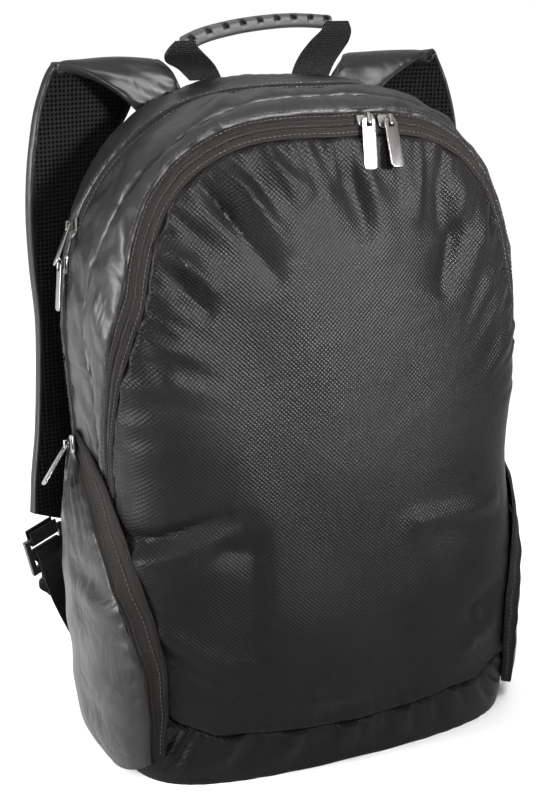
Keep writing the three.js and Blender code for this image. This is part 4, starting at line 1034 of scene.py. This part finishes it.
# The webbing's paths through the lock: along the strap and out from it.
holder_path = [(21.5, 2.9), (16, 3.2), (11, 2.8), (9.2, 0), (11, -2.8), (16, -3.2), (21.5, -2.9)]
adjuster_path = [(-88, -32.2), (-62, -17), (-34, -6.4), (-12, -5), (1, -4.9), (4.4, -2.6),
                 (4.6, 2), (2, 3.1), (-1.4, 3.1), (-4, 1.6), (-4.6, -1.6), (-8, -2.9),
                 (-15, -2.9), (-20, -1), (-24, 4), (-33, 8), (-44, 8)]
webbing_parts = [("lock_holder", holder_path, 70), ("adjuster_webbing", adjuster_path, 230)]


def lock_axes(side):
    """The lock's own directions in the bag's frame: across it, along the strap and out."""
    lean, turned = math.radians(lock_lean) * side, -math.radians(lock_turn) * side
    made = []
    for x, y, z in ((-1, 0, 0), (0, 0, 1), (0, 1, 0)):
        x, z = x * math.cos(lean) + z * math.sin(lean), -x * math.sin(lean) + z * math.cos(lean)
        x, y = x * math.cos(turned) - y * math.sin(turned), (
            x * math.sin(turned) + y * math.cos(turned))
        made.append((x, y, z))
    return np.array(made), lock_place * np.array([side, 1, 1])


for side, name in ((-1, "left"), (1, "right")):
    axes, centre = lock_axes(side)
    for part, path, steps in webbing_parts:
        flat = np.array(path, float)
        rows, _ = smooth_rows(np.column_stack([flat, np.zeros(len(flat))]), steps)
        points = centre + rows[:, :1] * axes[1] + rows[:, 1:2] * axes[2]
        along = np.gradient(points, axis=0)
        along /= np.linalg.norm(along, axis=1, keepdims=True)
        wide = np.broadcast_to(axes[0], points.shape)
        half = np.full(steps, webbing_half)
        if part == "adjuster_webbing":
            end = np.linspace(0, 1, steps)
            half = webbing_half * (1 - 0.5 * smooth_step(0.9, 1, end) ** 2)
        piece = webbing_strip(f"{part}_strip_{name}", points, wide, np.cross(along, wide), half,
                              webbing_thickness)
        finish_piece(piece, "webbing", f"{part}_{name}")


def cut_or_join(piece, other, operation):
    """Cuts another solid out of a piece, or joins the two."""
    select_only(piece)
    step = piece.modifiers.new("step", "BOOLEAN")
    step.operation = operation
    step.solver = "EXACT"
    step.object = other
    bpy.ops.object.modifier_apply(modifier="step")
    bpy.data.objects.remove(other)


# Each lock is moulded as a plate with two slots: a bar at the end for the holder, and one in the
# middle that grips the adjusting webbing.
bars = [
    # across, along, out, width, length, thickness
    (0, 13.25, 0, 36, 3.4, 3.5), (0, 0.6, 0, 34, 3.9, 3.5), (0, -12.0, 0, 36, 5.9, 3.5),
    (-15.8, 0, 0, 4.4, 26, 3.5), (15.8, 0, 0, 4.4, 26, 3.5),
]
for side, name in ((-1, "left"), (1, "right")):
    axes, centre = lock_axes(side)
    made = []
    for across, along, out, width, length, thickness in bars:
        bpy.ops.object.select_all(action="DESELECT")
        bpy.ops.mesh.primitive_cube_add(size=1)
        bar = bpy.context.object
        bar.scale = (width * MM, length * MM, thickness * MM)
        bar.location = (across * MM, along * MM, out * MM)
        bpy.ops.object.transform_apply(location=True, rotation=True, scale=True)
        made.append(bar)
    lock = made[0]
    for bar in made[1:]:
        cut_or_join(lock, bar, "UNION")
    rounded = lock.modifiers.new("rounded", "BEVEL")
    rounded.width = 0.8 * MM
    rounded.segments = 3
    rounded.limit_method = "ANGLE"
    bpy.ops.object.modifier_apply(modifier="rounded")
    for vertex in lock.data.vertices:
        across, along, out = vertex.co / MM
        vertex.co = Vector(centre + across * axes[0] + along * axes[1] + out * axes[2]) * MM
    lock.name = f"strap_lock_moulding_{name}"
    lock.data.materials.append(acetal)
    face_outwards(lock)
    bpy.ops.object.shade_smooth_by_angle(angle=math.radians(35))
    finish_piece(lock, "black_plastic", f"strap_lock_{name}")

# The zip sliders and pulls: die-cast zinc, plated with bright nickel. A slider runs on the coil and
# carries a bridge; the pull is a flat tab that hangs from the bridge by its eye.
nickel, tree, shader = new_material("bright_nickel_plate")
# Plating over a tumbled casting: a clean mirror with faint soft waviness and small handling marks.
ripple = node(tree, "ShaderNodeTexNoise", {"Scale": 260.0, "Detail": 1.0})
marks = node(tree, "ShaderNodeTexNoise", {"Scale": 1900.0, "Detail": 3.0})
blend_colour(tree, shader, ripple.outputs[0], "#7c7a79", "#989695")
vary_roughness(tree, shader, marks.outputs[0], 0.14, 0.34)
add_relief(tree, shader, ripple.outputs[0], 0.15, Distance=0.2 * MM)
shader.inputs["Metallic"].default_value = 1.0

pull_width, pull_length, pull_thickness = 10, 33, 1.5
slider_width, slider_length, axis_height = 9.5, 13.5, 4.6
eye_width, waist_below_eye, waist_length = 4.6, 8.6, 4.6


def shaped_plate(width, length, thickness, middle, rounding, edge):
    """A plate with rounded corners and edges, made from a cube in edit mode, in millimetres."""
    bpy.ops.object.select_all(action="DESELECT")
    bpy.ops.mesh.primitive_cube_add(size=1)
    plate = bpy.context.object
    plate.scale = (width * MM, length * MM, thickness * MM)
    plate.location = [v * MM for v in middle]
    bpy.ops.object.transform_apply(location=True, rotation=True, scale=True)
    bpy.ops.object.mode_set(mode="EDIT")
    bpy.ops.mesh.select_all(action="DESELECT")
    bpy.ops.object.mode_set(mode="OBJECT")
    for line in plate.data.edges:
        ends = [plate.data.vertices[i].co for i in line.vertices]
        line.select = abs(ends[0].z - ends[1].z) > 0.5 * thickness * MM
    bpy.ops.object.mode_set(mode="EDIT")
    bpy.ops.mesh.select_mode(type="EDGE")
    bpy.ops.mesh.bevel(offset=rounding * MM, segments=8)
    bpy.ops.object.mode_set(mode="OBJECT")
    softened = plate.modifiers.new("softened", "BEVEL")
    softened.width = edge * MM
    softened.segments = 3
    softened.limit_method = "ANGLE"
    softened.angle_limit = math.radians(50)
    bpy.ops.object.modifier_apply(modifier="softened")
    return plate


def set_in_place(piece, name, spot, across, along, out):
    """Moves the mesh so that its x, y and z lie across, along and out from the spot."""
    for vertex in piece.data.vertices:
        x, y, z = vertex.co / MM
        vertex.co = Vector(spot + x * across + y * along + z * out) * MM
    piece.name = name
    piece.data.materials.append(nickel)
    face_outwards(piece)
    bpy.ops.object.shade_smooth_by_angle(angle=math.radians(32))


# where each slider sits: its bridge's middle, the way its pull hangs, the way out of the cloth
# and how far the pull leans off it; the front ones lie across their zip
zip_pulls = [
    ("front_left", (21.26, -55.29, 449.24), (-0.0234, -0.5498, -0.8349),
     (0.0405, -0.835, 0.5487), -20, True),
    ("front_right", (37.36, -54.99, 447.78), (-0.0454, -0.5503, -0.8337),
     (0.0934, -0.8333, 0.5449), -4, True),
    ("main_upper", (-153.86, 50.03, 373.72), (-0.211, -0.6428, -0.7364),
     (-0.9613, 0, 0.2755), 16, False),
    ("main_lower", (-159.61, 55.78, 346.81), (-0.1469, -0.1045, -0.9836),
     (-0.989, 0, 0.1477), -2, False),
    ("pocket_left", (-163.36, 46.51, 217.07), (-0.0379, -0.3091, -0.9503),
     (-0.9992, -0.0025, 0.0407), 36, False),
    ("pocket_right", (163.36, 46.51, 217.02), (0.0347, -0.4696, -0.8822),
     (0.9992, -0.0025, 0.0407), 20, False),
]
for name, spot, hang, out, lean, crossing in zip_pulls:
    spot, hang, out = (np.array(v, float) for v in (spot, hang, out))
    out -= hang * out.dot(hang) / hang.dot(hang)
    hang, out = hang / np.linalg.norm(hang), out / np.linalg.norm(out)
    along = -hang
    across = np.cross(along, out)
    # the slider: a humped body on the coil, waisted in the middle, with a hooped bridge on it
    wide, long = (slider_length, slider_width) if crossing else (slider_width, slider_length)
    shift = slider_width / 2 - 3.7 if crossing else 0
    slider = shaped_plate(wide, long, 2.2, (0, shift, -axis_height), 2.4, 0.6)
    hoop = shaped_plate(2.6, 7.4, 4.8, (0, 0, -0.5), 0.9, 0.5)
    window = shaped_plate(5, 4.2, 2.9, (0, 0, 0), 1.2, 0.3)
    cut_or_join(hoop, window, "DIFFERENCE")
    cut_or_join(slider, hoop, "UNION")
    set_in_place(slider, f"zip_slider_{name}", spot, across, along, out)
    finish_piece(slider, "nickel", f"slider_{name}")
    # the pull: a rounded tab with its eye cut through, slightly waisted under the eye
    pull = shaped_plate(pull_width, pull_length + 1, pull_thickness,
                        (0, (1 - pull_length) / 2, 0), 2.9, 0.5)
    eye = shaped_plate(eye_width, 4.5, 4, (0, -3.15, 0), 1.1, 0.1)
    cut_or_join(pull, eye, "DIFFERENCE")
    for vertex in pull.data.vertices:
        x, y, z = vertex.co / MM
        narrowed = 1 - 0.1 * math.exp(-(((y + waist_below_eye) / waist_length) ** 2))
        if abs(x) > eye_width / 2 + 0.3:
            vertex.co.x = x * narrowed * MM
    lean_angle = math.radians(lean)
    tab_along = along * math.cos(lean_angle) - out * math.sin(lean_angle)
    tab_out = out * math.cos(lean_angle) + along * math.sin(lean_angle)
    set_in_place(pull, f"zip_pull_{name}", spot, across, tab_along, tab_out)
    finish_piece(pull, "nickel", f"pull_{name}", body=f"{name}_pull")
